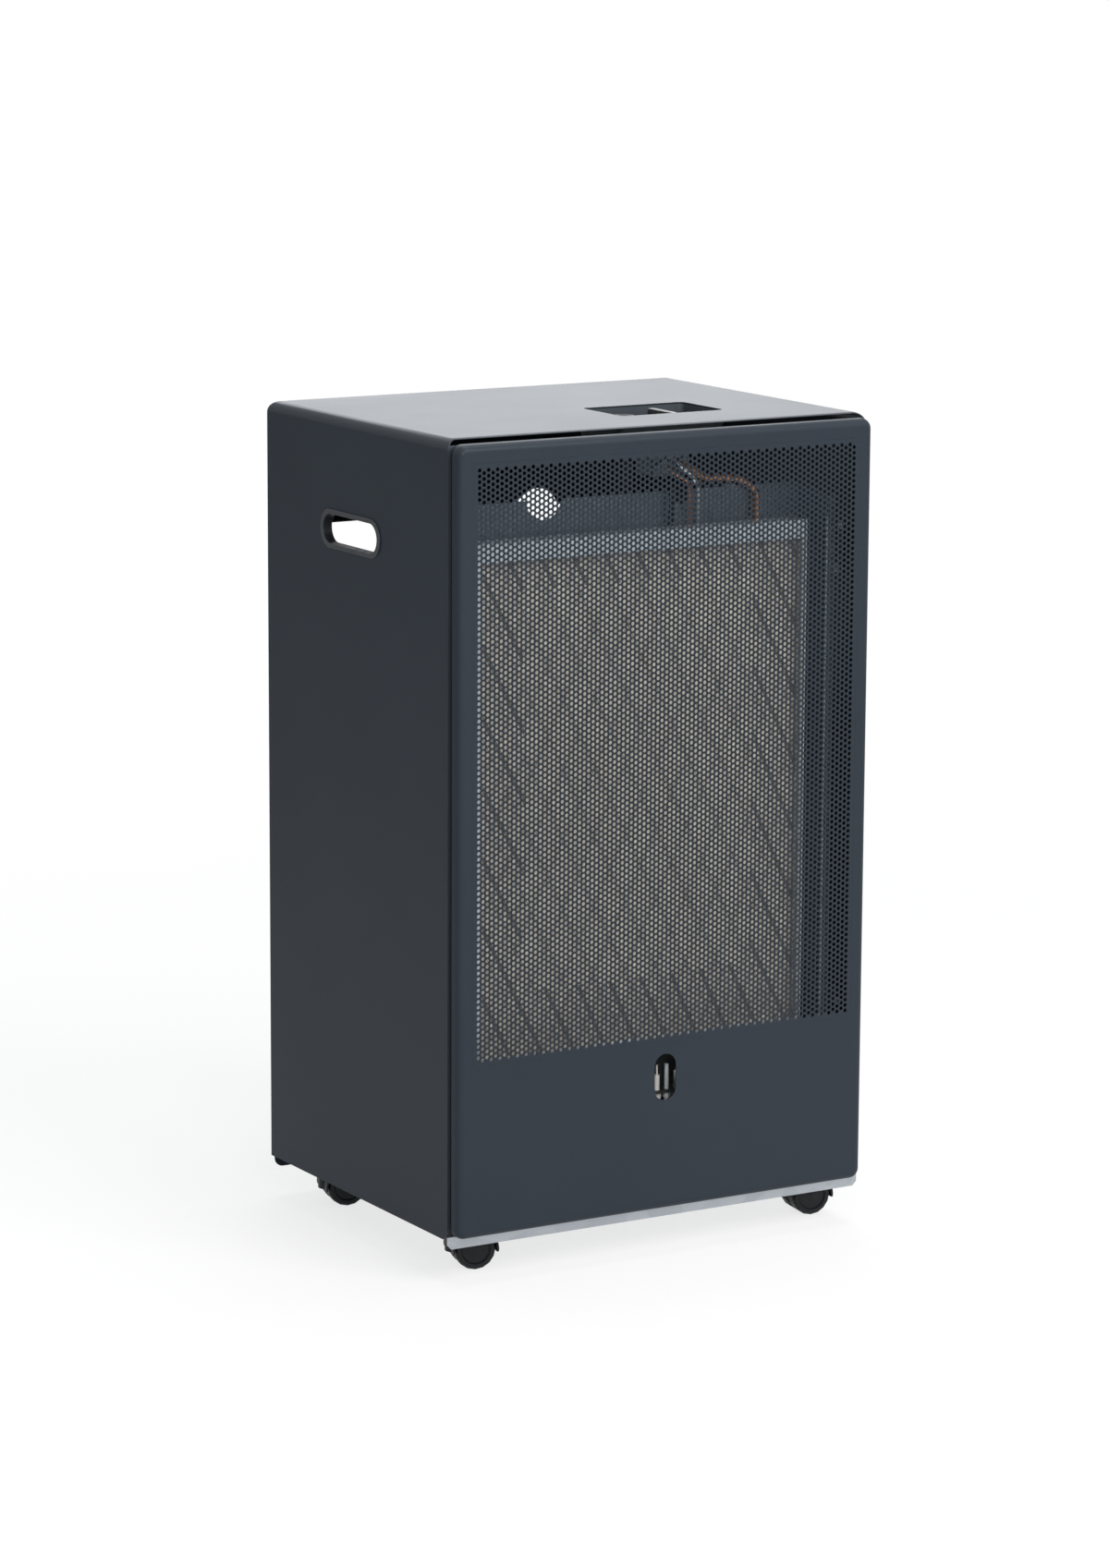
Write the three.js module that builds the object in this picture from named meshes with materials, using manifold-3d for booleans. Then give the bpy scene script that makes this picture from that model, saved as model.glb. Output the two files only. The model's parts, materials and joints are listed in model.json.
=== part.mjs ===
import * as THREE from 'three';
import { mergeGeometries, mergeVertices } from 'three/addons/utils/BufferGeometryUtils.js';
import Module from 'manifold-3d';

const wasm = await Module();
wasm.setup();

// ---------------------------------------------------------------- driving sizes, mm
// cabinet
const casingWidth = 425;
const casingDepth = 330;
const casingHeight = 700;
const groundClearance = 40; // floor to the lower edge of the casing
const sheetWall = 1.2;
const casingBend = 10; // outer radius where the top turns into the sides
const frontReturn = 12;
const rearReturn = 15;
const footChamfer = 8; // cut at the lower front corner of each side
const fitGap = 0.3;

// punched front panel
const panelProud = 15;
const panelShadowGap = 3;
const panelSideInset = 2;
const panelTopInset = 4;
const panelBottomGap = 3;
const panelCorner = 8;
const panelEdgeRound = 4;
const fieldSideMargin = 18.5; // side of the panel to the edge of the punched field
const fieldHeight = 516;
const fieldAboveHem = 160;
const punchPitch = 36;
const punchDiameter = 24;
const sightWidth = 22;
const sightHeight = 42;
const sightAboveHem = 124;
const lugWidth = 8; // lugs that hold the panel off the casing's front edge
const lugHeight = 20;
const lugInset = 55;

// base tray
const trayFloorRise = 8; // lower edge of the casing to the underside of the tray floor
const traySideFlange = 24;
const trayRearFlange = 18;
const trayRearSetback = 10;
const apronDrop = 7;
const apronEarRise = 4;
const apronCorner = 4;
const apronOverhang = 1.2; // how far the apron stands out past each side of the casing
const bottleRingDiameter = 232;
const bottleRingHeight = 3;
const bottleRingWall = 2.4;

// rear pieces
const coverHeight = 400;
const coverDrop = 12;
const coverSideInset = 4;
const coverCorner = 8;
const coverProud = 6; // how far the pressed ridge stands out of the casing's rear edge
const ridgeTopBelow = 52;
const ridgeBottomBelow = 116;
const hookHeight = 8;
const hookTab = 4; // how far a hook reaches down behind the casing's flange
const hookBelowRidge = 6;
const hookLowAboveHem = 32;
const coverLift = 12;
const rearPanelHeight = 111;
const hoseNotchRadius = 24;
const ventLength = 46;
const ventHeight = 6;
const ventPitch = 14;
const ventColumnPitch = 60;
const coverVentAboveEdge = 66;

// side grips
const gripLength = 96;
const gripHeight = 25;
const gripWall = 2.5;
const gripFlange = 8;
const gripFlangeProud = 1.2;
const gripCollarDepth = 14;
const gripAboveHem = 599;
const gripBehindFront = 173;

// control recess in the top
const wellWidth = 106;
const wellDepth = 70;
const wellSink = 24;
const wellCorner = 6;
const wellWall = 2;
const wellCentreX = 58.5;
const wellCentreBehindFront = 110;
const wellLedge = 6;

// knob, spindle and valve
const knobDiameter = 54;
const knobX = 67.5;
const knobBehindFront = 108;
const knobSkirt = 3;
const knobCrown = 3.5;
const knobBarWidth = 9;
const knobBarHeight = 6;
const knobBelowTop = 1.5;
const knobTravel = 4;
const spindleDiameter = 6;
const valveWidth = 36;
const valveDepth = 32;
const valveHeight = 30;
const valveNeck = 11;
const valvePlateWidth = 52;
const valvePlateDepth = 48;
const valvePlateWall = 1.5;
const valvePlateLip = 8;
const valveNutHeight = 2.7;
const valveNutWidth = 19;
const spindleReach = 8; // length of spindle inside the valve
const thrustDiameter = 15;
const thrustHeight = 2;
const mainPortDiameter = 13;
const pilotPortDiameter = 7;
const magnetPortDiameter = 9;
const portLength = 6;
const nozzleLength = 36;
const nozzleDiameter = 10;
const nozzleBore = 4;

// igniter
const piezoX = 24;
const piezoBehindFront = 103;
const piezoButtonDiameter = 21;
const piezoBarrelDiameter = 17;
const piezoBarrelLength = 48;
const piezoButtonBelowTop = 3;
const piezoTravel = 6;
const piezoStemDiameter = 13;
const piezoRimHeight = 4;
const piezoNutHeight = 4;
const piezoNutWidth = 26;
const piezoTerminal = 6;

// burner
const burnerSideGap = 18.5; // outer face of the housing's cheek to the burner
const burnerHeight = 470;
const burnerDepth = 32;
const burnerSetback = 26; // front edge of the casing to the front of the burner frame
const burnerTopAboveHem = 604;
const frameRail = 16.5;
const frameStile = 4;
const frameSkirt = 12;
const padCrown = 6;
const padRamp = 48;
const blanketDepth = 14;
const guardPitch = 54;
const guardWire = 2;

// housing round the burner
const housingInset = 25; // outer face of the casing to the housing's side wall
const housingBackSetback = 70;
const housingFrontSetback = 19;
const housingTopAboveHem = 632;
const housingBottomAboveHem = 112;
const housingCornerDrop = 7;
const housingHem = 6;
const sightNotchX = -77;
const sightNotchRadius = 18;
const tubeNotchX = 64;
const tubeNotchRadius = 13;
const bracketHeight = 36;
const bracketSetback = 34;
const bracketReach = 18;
const bracketUpperAboveHem = 570;
const bracketLowerAboveHem = 155;
const hangerWidth = 28;
const hangerHeight = 30;
const hangerUpperX = 100;
const hangerUpperAboveHem = 480;
const hangerLowerAboveHem = 200;

// pilot
const pilotX = 18;
const pilotAboveHem = 104;
const pilotSetback = 12;
const pilotSpacing = 10;
const pilotShelfFront = 8; // pilot centre line to the front edge of the shelf
const pilotPlateWidth = 36;
const pilotPlateRise = 43;
const pilotGusset = 20;
const pilotHeight = 18;
const pilotTail = 10;
const pilotBurnerDiameter = 8;
const electrodeDiameter = 5;
const electrodePin = 1.6;
const probeDiameter = 4;
const pilotNutHeight = 6;

// pipework
const mainTubeDiameter = 8;
const pilotTubeDiameter = 4;
const capillaryDiameter = 3;
const leadDiameter = 5;
const mainTubeInset = 30.5; // side of the burner to the middle of the tube
const mainTubeBend = 24; // height in which the tube turns down behind the burner
const smallTubeBend = 22;
const pilotTubeX = 79;
const capillaryX = 70;
const leadX = 50;
const injectorBelowTop = 46;
const injectorDiameter = 10;
const injectorBody = 13;
const injectorNut = 16;

// casters
const wheelDiameter = 37;
const wheelWidth = 14;
const casterTrail = 14;
const casterSideInset = 36;
const casterFrontInset = 48;
const casterRearInset = 45;
const casterWeb = 4;
const hoodWall = 1.6;
const hoodClearance = 1;
const axleDiameter = 5;
const casterPlateSize = 46;
const casterPlateThickness = 2.4;
const casterCollarDiameter = 20;
const casterStemDiameter = 8;
const casterBoss = 13;
const hoodSkirt = 3; // how far the hood comes down below the axle
const casterAngleFrontLeft = -104;
const casterAngleFrontRight = -98;
const casterAngleRearLeft = -102;
const casterAngleRearRight = -95;

// ---------------------------------------------------------------- places worked out from them
const casingBottom = groundClearance;
const casingTop = casingBottom + casingHeight;
const overallDepth = panelProud + casingDepth + coverProud;
const casingFront = panelProud - overallDepth / 2;
const casingRear = casingFront + casingDepth;
const sideInner = casingWidth / 2 - sheetWall;
const trayFloorBottom = casingBottom + trayFloorRise;
const trayFloorTop = trayFloorBottom + sheetWall;

const behindFront = (distance) => casingFront + distance;
const aboveHem = (height) => casingBottom + height;

// control recess and what hangs from it
const wellY = behindFront(wellCentreBehindFront);
const wellFloorTop = casingTop - wellSink;
const wellFloorBottom = wellFloorTop - wellWall;
const wellLedgeTop = casingTop - sheetWall - fitGap;
const knobY = behindFront(knobBehindFront);
const knobTop = casingTop - knobBelowTop;
const knobBottom = knobTop - knobSkirt - knobCrown - knobBarHeight;
const neckHole = valveNeck + 2 * fitGap;
const plateBottom = wellFloorBottom - fitGap - valvePlateWall;
const valveTop = plateBottom - fitGap;
const valveBottom = valveTop - valveHeight;
const nutTop = wellFloorTop + fitGap + valveNutHeight;
const spindleTop = knobTop - knobBarHeight - 1;
const spindleBottom = valveTop - spindleReach;
const portFace = knobY - valveDepth / 2 - portLength;
const mainPort = { x: knobX + 9, z: valveBottom + 10, diameter: mainPortDiameter };
const pilotPort = { x: knobX - 3.5, z: valveBottom + 16, diameter: pilotPortDiameter };
const magnetPort = { x: knobX - 12, z: valveBottom + 10, diameter: magnetPortDiameter };
const piezoY = behindFront(piezoBehindFront);
const piezoRimTop = wellFloorTop + piezoRimHeight;
const piezoBottom = wellFloorTop - piezoBarrelLength;
const buttonTop = casingTop - piezoButtonBelowTop;

// burner, its housing and the pilot
const housingHalf = casingWidth / 2 - housingInset;
const burnerHalf = housingHalf - burnerSideGap;
const burnerWidth = 2 * burnerHalf;
const burnerTop = aboveHem(burnerTopAboveHem);
const burnerBottom = burnerTop - burnerHeight;
const burnerFace = behindFront(burnerSetback);
const burnerBack = burnerFace + burnerDepth;
const frameSeat = sheetWall + fitGap;
const guardBack = burnerFace + frameSeat + guardWire;
const blanketBack = burnerBack - frameSeat;
const blanketFront = blanketBack - blanketDepth;
const housingBack = behindFront(housingBackSetback);
const housingFront = behindFront(housingFrontSetback);
const housingTop = aboveHem(housingTopAboveHem);
const housingBottom = aboveHem(housingBottomAboveHem);
const pilotY = behindFront(pilotSetback);
const pilotZ = aboveHem(pilotAboveHem);
const injectorZ = burnerTop - injectorBelowTop;
const injectorInside = 6;
const pipeY = (burnerBack + housingBack) / 2;
const overHousing = housingTop + mainTubeDiameter / 2;
const mainTubeX = burnerHalf - mainTubeInset;

// casters
const wheelRadius = wheelDiameter / 2;
const casterPlateBottom = trayFloorBottom - fitGap - casterPlateThickness;

// ---------------------------------------------------------------- finishes
function finish(color, roughness, metalness) {
  return new THREE.MeshStandardMaterial({ color, roughness, metalness, flatShading: true });
}

const slatePaint = () => finish(0x454c52, 0.42, 0.25);
const galvanised = () => finish(0xb9c0c6, 0.38, 0.85);
const darkSteel = () => finish(0x59626a, 0.5, 0.6);
const blackPlastic = () => finish(0x17191c, 0.45, 0);
const greyPlastic = () => finish(0x33383d, 0.5, 0);
const brass = () => finish(0xb08d4a, 0.35, 0.9);
const copper = () => finish(0xa8643f, 0.38, 0.9);
const aluminium = () => finish(0xc9ccce, 0.4, 0.9);
const chrome = () => finish(0xd8dadc, 0.15, 1);
const ceramic = () => finish(0xe8e4da, 0.6, 0);
const catalyst = () => finish(0x6e655c, 0.95, 0);
const wool = () => finish(0xd9d6cf, 1, 0);

// ---------------------------------------------------------------- solids
function solid(geometry) {
  const bare = geometry.index ? geometry.toNonIndexed() : geometry.clone();
  bare.deleteAttribute('normal');
  bare.deleteAttribute('uv');
  const merged = mergeVertices(bare, 1e-4);
  return new wasm.Manifold(new wasm.Mesh({
    numProp: 3,
    vertProperties: new Float32Array(merged.attributes.position.array),
    triVerts: new Uint32Array(merged.index.array),
  }));
}

function piece(name, body, material) {
  const data = body.getMesh();
  const geometry = new THREE.BufferGeometry();
  geometry.setAttribute('position', new THREE.BufferAttribute(new Float32Array(data.vertProperties), 3));
  geometry.setIndex(new THREE.BufferAttribute(new Uint32Array(data.triVerts), 1));
  geometry.computeVertexNormals();
  const mesh = new THREE.Mesh(geometry, material);
  mesh.name = name;
  return mesh;
}

// each pair of limits may be given in either order
function box(x0, x1, y0, y1, z0, z1) {
  const geometry = new THREE.BoxGeometry(Math.abs(x1 - x0), Math.abs(y1 - y0), Math.abs(z1 - z0));
  geometry.translate((x0 + x1) / 2, (y0 + y1) / 2, (z0 + z1) / 2);
  return solid(geometry);
}

function extruded(shape, depth, segments = 2) {
  return new THREE.ExtrudeGeometry(shape, { depth, bevelEnabled: false, curveSegments: segments });
}

// outline in x and y, standing up from z0
function slab(shape, z0, thickness, segments) {
  return solid(extruded(shape, thickness, segments).translate(0, 0, z0));
}

// outline in x and z, running back from y0
function uprightPlate(shape, y0, thickness, segments) {
  return solid(extruded(shape, thickness, segments).rotateX(Math.PI / 2).translate(0, y0 + thickness, 0));
}

// outline in y and z, running to the right from x0
function sidePlate(shape, x0, thickness, segments) {
  const turn = new THREE.Matrix4().makeBasis(
    new THREE.Vector3(0, 1, 0), new THREE.Vector3(0, 0, 1), new THREE.Vector3(1, 0, 0));
  return solid(extruded(shape, thickness, segments).applyMatrix4(turn).translate(x0, 0, 0));
}

function rod(x, y, z0, z1, diameter, sides = 16) {
  const geometry = new THREE.CylinderGeometry(diameter / 2, diameter / 2, z1 - z0, sides);
  return solid(geometry.rotateX(Math.PI / 2).translate(x, y, (z0 + z1) / 2));
}

function rodAlongY(x, z, y0, y1, diameter, sides = 16) {
  const geometry = new THREE.CylinderGeometry(diameter / 2, diameter / 2, y1 - y0, sides);
  return solid(geometry.translate(x, (y0 + y1) / 2, z));
}

function rodAlongX(y, z, x0, x1, diameter, sides = 16) {
  const geometry = new THREE.CylinderGeometry(diameter / 2, diameter / 2, Math.abs(x1 - x0), sides);
  return solid(geometry.rotateZ(Math.PI / 2).translate((x0 + x1) / 2, y, z));
}

function ring(x, y, z0, z1, outer, inner, sides = 20) {
  return rod(x, y, z0, z1, outer, sides).subtract(rod(x, y, z0 - 1, z1 + 1, inner, sides));
}

// profile of [radius, height] pairs, turned about the upright axis
function turned(profile, sides) {
  return new THREE.LatheGeometry(profile.map(([r, h]) => new THREE.Vector2(r, h)), sides);
}

function roundedRect(x0, y0, x1, y1, radius) {
  const shape = new THREE.Shape();
  shape.moveTo(x0 + radius, y0);
  shape.lineTo(x1 - radius, y0);
  shape.absarc(x1 - radius, y0 + radius, radius, -Math.PI / 2, 0);
  shape.lineTo(x1, y1 - radius);
  shape.absarc(x1 - radius, y1 - radius, radius, 0, Math.PI / 2);
  shape.lineTo(x0 + radius, y1);
  shape.absarc(x0 + radius, y1 - radius, radius, Math.PI / 2, Math.PI);
  shape.lineTo(x0, y0 + radius);
  shape.absarc(x0 + radius, y0 + radius, radius, Math.PI, Math.PI * 1.5);
  return shape;
}

function outline(points) {
  return new THREE.Shape(points.map(([x, y]) => new THREE.Vector2(x, y)));
}

// a curve sampled evenly between its points, so that close points give a finer bend
class Route extends THREE.CatmullRomCurve3 {
  getUtoTmapping(u) {
    return u;
  }
}

function tube(points, diameter, sides) {
  const path = new Route(points.map((p) => new THREE.Vector3(...p)), false, 'centripetal');
  const section = new THREE.Shape();
  section.absarc(0, 0, diameter / 2, 0, Math.PI * 2);
  return solid(new THREE.ExtrudeGeometry(section, {
    steps: (points.length - 1) * 3,
    extrudePath: path,
    curveSegments: sides / 2,
    bevelEnabled: false,
  }));
}

// ---------------------------------------------------------------- casing
// inverted U, set in from the outer face by `inset`
function archShape(inset, bottom) {
  const half = casingWidth / 2 - inset;
  const top = casingTop - inset;
  const radius = Math.max(casingBend - inset, 0.5);
  const shape = new THREE.Shape();
  shape.moveTo(-half, bottom);
  shape.lineTo(half, bottom);
  shape.lineTo(half, top - radius);
  shape.absarc(half - radius, top - radius, radius, 0, Math.PI / 2);
  shape.lineTo(-half + radius, top);
  shape.absarc(-half + radius, top - radius, radius, Math.PI / 2, Math.PI);
  shape.lineTo(-half, bottom);
  return shape;
}

function arch(outer, inner, y0, depth, bottom) {
  const body = uprightPlate(archShape(outer, bottom), y0, depth);
  return body.subtract(uprightPlate(archShape(inner, bottom - 1), y0 - 1, depth + 2));
}

function gripSlot(length, height, x0, thickness) {
  const y = behindFront(gripBehindFront);
  const z = aboveHem(gripAboveHem);
  const shape = roundedRect(y - length / 2, z - height / 2, y + length / 2, z + height / 2, height / 2 - 0.01);
  return sidePlate(shape, x0, thickness, 3);
}

// top corner of each hook of the rear cover, as x and z
function hookPlaces() {
  const upper = casingBottom - coverDrop + coverHeight - ridgeBottomBelow - hookBelowRidge;
  const lower = aboveHem(hookLowAboveHem);
  const x = sideInner - rearReturn / 2;
  return [[-x, upper], [x, upper], [-x, lower], [x, lower]];
}

function hookSlot(x, z) {
  const half = sheetWall / 2 + 2 * fitGap;
  return box(x - half, x + half, casingRear - 2 * sheetWall, casingRear + sheetWall,
    z - hookHeight - fitGap, z + coverLift + fitGap);
}

// opening of the control recess, grown by `grow` all round
function wellOutline(grow) {
  return roundedRect(
    wellCentreX - wellWidth / 2 - grow, wellY - wellDepth / 2 - grow,
    wellCentreX + wellWidth / 2 + grow, wellY + wellDepth / 2 + grow, wellCorner + grow);
}

function footCut() {
  const chamfer = outline([
    [casingFront - 1, casingBottom - 1],
    [casingFront + footChamfer, casingBottom - 1],
    [casingFront + footChamfer, casingBottom],
    [casingFront, casingBottom + footChamfer],
    [casingFront - 1, casingBottom + footChamfer],
  ]);
  return sidePlate(chamfer, -casingWidth, 2 * casingWidth);
}

function casingWrap() {
  const flangeFoot = trayFloorTop + fitGap + 2;
  const gripCut = 2 * (gripWall + fitGap);
  let body = arch(0, sheetWall, casingFront, casingDepth, casingBottom);
  body = body.add(arch(sheetWall / 2, frontReturn, casingFront, sheetWall, flangeFoot));
  body = body.add(arch(sheetWall / 2, rearReturn, casingRear - sheetWall, sheetWall, flangeFoot));
  body = body.subtract(slab(wellOutline(0), casingTop - wellSink, 2 * wellSink, 3));
  body = body.subtract(gripSlot(gripLength + gripCut, gripHeight + gripCut, -casingWidth, 2 * casingWidth));
  body = body.subtract(footCut());
  for (const [x, z] of hookPlaces()) {
    body = body.subtract(hookSlot(x, z));
  }
  return piece('casing_wrap', body, slatePaint());
}

// ---------------------------------------------------------------- front panel
const panelHalf = casingWidth / 2 - panelSideInset;
const fieldWidth = 2 * (panelHalf - fieldSideMargin);
const panelBottom = aboveHem(panelBottomGap);
const panelTop = casingTop - panelTopInset;
const panelFace = behindFront(-panelProud);
const panelBack = behindFront(-panelShadowGap);

// a pan with rounded front edges, its open side towards the cabinet
function panBlank(inset, face) {
  const shape = roundedRect(
    -panelHalf + panelEdgeRound, panelBottom + panelEdgeRound,
    panelHalf - panelEdgeRound, panelTop - panelEdgeRound, panelCorner - panelEdgeRound);
  const size = panelEdgeRound - inset;
  const geometry = new THREE.ExtrudeGeometry(shape, {
    depth: panelProud * 2, curveSegments: 3, bevelEnabled: true,
    bevelThickness: size, bevelSize: size, bevelSegments: 3,
  });
  geometry.rotateX(Math.PI / 2).translate(0, face + size + panelProud * 2, 0);
  return solid(geometry);
}

function punchPlaces() {
  const columnPitch = punchPitch * Math.sqrt(3) / 2;
  const columns = Math.floor((fieldWidth - punchDiameter) / columnPitch) + 1;
  const rows = Math.floor((fieldHeight - punchDiameter) / punchPitch);
  const places = [];
  for (let column = 0; column < columns; column += 1) {
    const high = column % 2 === 0;
    for (let row = 0; row < rows + (high ? 1 : 0); row += 1) {
      places.push([
        (column - (columns - 1) / 2) * columnPitch,
        aboveHem(fieldAboveHem) + fieldHeight / 2 + (row - rows / 2 + (high ? 0 : 0.5)) * punchPitch,
      ]);
    }
  }
  return places;
}

function punches() {
  const one = new THREE.CylinderGeometry(punchDiameter / 2, punchDiameter / 2, panelProud, 6);
  const all = punchPlaces().map(([x, z]) => one.clone().translate(x, panelFace, z));
  return solid(mergeGeometries(all));
}

function sightSlot() {
  const z = aboveHem(sightAboveHem);
  const shape = roundedRect(
    -sightWidth / 2, z - sightHeight / 2, sightWidth / 2, z + sightHeight / 2, sightWidth / 2 - 0.01);
  return uprightPlate(shape, panelFace - 3, panelProud, 6);
}

function frontPanel() {
  const outer = panBlank(0, panelFace);
  const inner = panBlank(sheetWall, panelFace + sheetWall);
  const behind = box(-casingWidth, casingWidth, panelBack, panelBack + casingDepth, 0, casingTop * 2);
  let body = outer.subtract(inner).subtract(behind).subtract(punches()).subtract(sightSlot());
  for (const side of [-1, 1]) {
    for (const z of [panelBottom + lugInset, panelTop - lugInset]) {
      body = body.add(box(side * (panelHalf - sheetWall / 2), side * (panelHalf - lugWidth),
        panelBack - lugWidth, casingFront - fitGap, z - lugHeight / 2, z + lugHeight / 2));
    }
  }
  return piece('front_panel', body, slatePaint());
}

// ---------------------------------------------------------------- base tray
const trayHalf = sideInner - fitGap;
const trayRear = casingRear - trayRearSetback;
const apronFace = panelBack + fitGap;

// strip that shows below the front panel, with an ear at each end
function apron() {
  const half = casingWidth / 2 + apronOverhang;
  const floorHalf = sideInner - frontReturn;
  const low = casingBottom - apronDrop;
  const ear = aboveHem(apronEarRise);
  return uprightPlate(outline([
    [-half + apronCorner, low], [half - apronCorner, low], [half, low + apronCorner], [half, ear],
    [floorHalf, ear], [floorHalf, trayFloorTop], [-floorHalf, trayFloorTop], [-floorHalf, ear],
    [-half, ear], [-half, low + apronCorner],
  ]), apronFace, sheetWall);
}

function baseTray() {
  const floorHalf = sideInner - frontReturn;
  const flangeFront = behindFront(frontReturn);
  let body = box(-trayHalf, trayHalf, apronFace + sheetWall / 2, trayRear, trayFloorBottom, trayFloorTop);
  body = body.add(box(-trayHalf, trayHalf, trayRear - sheetWall, trayRear,
    trayFloorBottom, trayFloorTop + trayRearFlange));
  for (const side of [-1, 1]) {
    body = body.add(box(side * trayHalf, side * (trayHalf - sheetWall), flangeFront, trayRear,
      trayFloorBottom, trayFloorTop + traySideFlange));
    body = body.subtract(box(side * floorHalf, side * casingWidth, apronFace - sheetWall, flangeFront,
      trayFloorBottom - sheetWall, trayFloorTop + sheetWall));
  }
  body = body.add(apron());
  const bottleY = behindFront((housingBackSetback + casingDepth) / 2);
  body = body.add(ring(0, bottleY, trayFloorBottom + sheetWall / 2, trayFloorTop + bottleRingHeight,
    bottleRingDiameter, bottleRingDiameter - 2 * bottleRingWall, 32));
  return piece('base_tray', body, galvanised());
}

// ---------------------------------------------------------------- rear panel and rear cover
// three rows of slots in `columns` columns, centred on x and z
function vents(x, y0, z, columns) {
  const slots = [];
  for (let column = 0; column < columns; column += 1) {
    for (let row = -1; row <= 1; row += 1) {
      const slot = new THREE.BoxGeometry(ventLength, 8 * sheetWall, ventHeight);
      slots.push(slot.translate(x + (column - (columns - 1) / 2) * ventColumnPitch, y0, z + row * ventPitch));
    }
  }
  return solid(mergeGeometries(slots));
}

function rearTopPanel() {
  const y0 = casingRear - 2 * sheetWall - fitGap;
  const half = sideInner - fitGap;
  const top = casingTop - sheetWall - fitGap;
  const bottom = top - rearPanelHeight;
  const foldHalf = half - rearReturn;
  const notchSink = hoseNotchRadius / 3;
  let body = box(-half, half, y0, y0 + sheetWall, bottom, top - casingBend);
  body = body.add(box(-half + casingBend, half - casingBend, y0, y0 + sheetWall, bottom, top));
  body = body.add(box(-foldHalf, foldHalf, y0 - frontReturn, y0 + sheetWall / 2, bottom, bottom + sheetWall));
  body = body.subtract(rodAlongY(knobX, bottom - notchSink, y0 - 2 * frontReturn, y0 + frontReturn,
    2 * hoseNotchRadius, 20));
  body = body.subtract(vents(-knobX, y0, (top + bottom) / 2, 3));
  return piece('rear_top_panel', body, slatePaint());
}

const coverY = casingRear + fitGap;
const coverBottom = casingBottom - coverDrop;

// cross-section of the cover in y and z, one bent sheet
function coverSection() {
  const face = coverY + sheetWall;
  const out = casingRear + coverProud;
  const top = coverBottom + coverHeight;
  const upper = top - ridgeTopBelow;
  const lower = top - ridgeBottomBelow;
  return outline([
    [coverY, coverBottom], [face, coverBottom], [face, lower - 3], [out, lower],
    [out, upper], [face, top - 2], [face, top], [coverY, top],
    [coverY, top - 3], [out - sheetWall, upper - 1], [out - sheetWall, lower + sheetWall], [coverY, lower - 2],
  ]);
}

// hook that goes through the casing's flange at x, its top at z
function coverHook(x, z) {
  const root = coverY + sheetWall / 2;
  const near = casingRear - sheetWall - fitGap;
  const far = near - sheetWall;
  return sidePlate(outline([
    [root, z], [far, z], [far, z - hookHeight - hookTab], [near, z - hookHeight - hookTab],
    [near, z - hookHeight], [root, z - hookHeight],
  ]), x - sheetWall / 2, sheetWall);
}

function rearCover() {
  const half = casingWidth / 2 - coverSideInset;
  const blank = roundedRect(-half, coverBottom, half, coverBottom + coverHeight, coverCorner);
  let body = sidePlate(coverSection(), -half, 2 * half);
  body = body.intersect(uprightPlate(blank, casingRear - casingDepth, 2 * casingDepth));
  body = body.subtract(vents(0, coverY, coverBottom + coverVentAboveEdge, 5));
  for (const [x, z] of hookPlaces()) {
    body = body.add(coverHook(x, z));
  }
  return piece('rear_cover', body, slatePaint());
}

// ---------------------------------------------------------------- side grips
// moulded cup that lines the slot in one side; side is -1 for the left, 1 for the right
function gripInsert(name, side) {
  const face = side * casingWidth / 2;
  const rim = face + side * gripFlangeProud;
  const seat = face + side * fitGap;
  const back = face - side * gripCollarDepth;
  const ringAt = (grow, from, to) => gripSlot(
    gripLength + 2 * grow, gripHeight + 2 * grow, Math.min(from, to), Math.abs(from - to));
  const body = ringAt(gripWall, rim, back).add(ringAt(gripFlange, rim, seat));
  return piece(name, body.subtract(ringAt(0, rim + side, back - side)), blackPlastic());
}

// ---------------------------------------------------------------- control recess
function controlWell() {
  const depth = wellFloorBottom - 1;
  let body = slab(wellOutline(wellWall), wellFloorBottom, wellLedgeTop - wellFloorBottom, 3);
  body = body.add(slab(wellOutline(wellLedge), wellLedgeTop - wellWall, wellWall, 3));
  body = body.subtract(slab(wellOutline(0), wellFloorTop, wellSink, 3));
  body = body.subtract(rod(knobX, knobY, depth, casingTop, neckHole));
  body = body.subtract(rod(piezoX, piezoY, depth, casingTop, piezoBarrelDiameter + 2 * fitGap));
  return piece('control_well', body, greyPlastic());
}

// ---------------------------------------------------------------- valve, spindle and knob
function valvePlate() {
  const halfX = valvePlateWidth / 2;
  const halfY = valvePlateDepth / 2;
  const lipX = halfX - wellCorner;
  let body = slab(roundedRect(knobX - halfX, knobY - halfY, knobX + halfX, knobY + halfY, wellCorner),
    plateBottom, valvePlateWall);
  body = body.add(box(knobX - lipX, knobX + lipX, knobY - halfY, knobY - halfY + valvePlateWall,
    plateBottom - valvePlateLip, plateBottom + valvePlateWall / 2));
  body = body.subtract(rod(knobX, knobY, plateBottom - 1, plateBottom + 2 * valvePlateWall, neckHole));
  return piece('valve_bracket', body, galvanised());
}

function gasValve() {
  const halfX = valveWidth / 2;
  const halfY = valveDepth / 2;
  const bore = spindleDiameter + 4 * fitGap;
  const shape = roundedRect(knobX - halfX, knobY - halfY, knobX + halfX, knobY + halfY, 5);
  let body = slab(shape, valveBottom, valveHeight);
  body = body.add(rod(knobX, knobY, valveTop - 1, nutTop - fitGap, valveNeck));
  for (const port of [mainPort, pilotPort, magnetPort]) {
    body = body.add(rodAlongY(port.x, port.z, portFace, knobY, port.diameter, 12));
  }
  body = body.subtract(rod(knobX, knobY, spindleBottom - knobTravel - 2, nutTop + 1, bore));
  return piece('gas_valve_body', body, aluminium());
}

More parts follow.
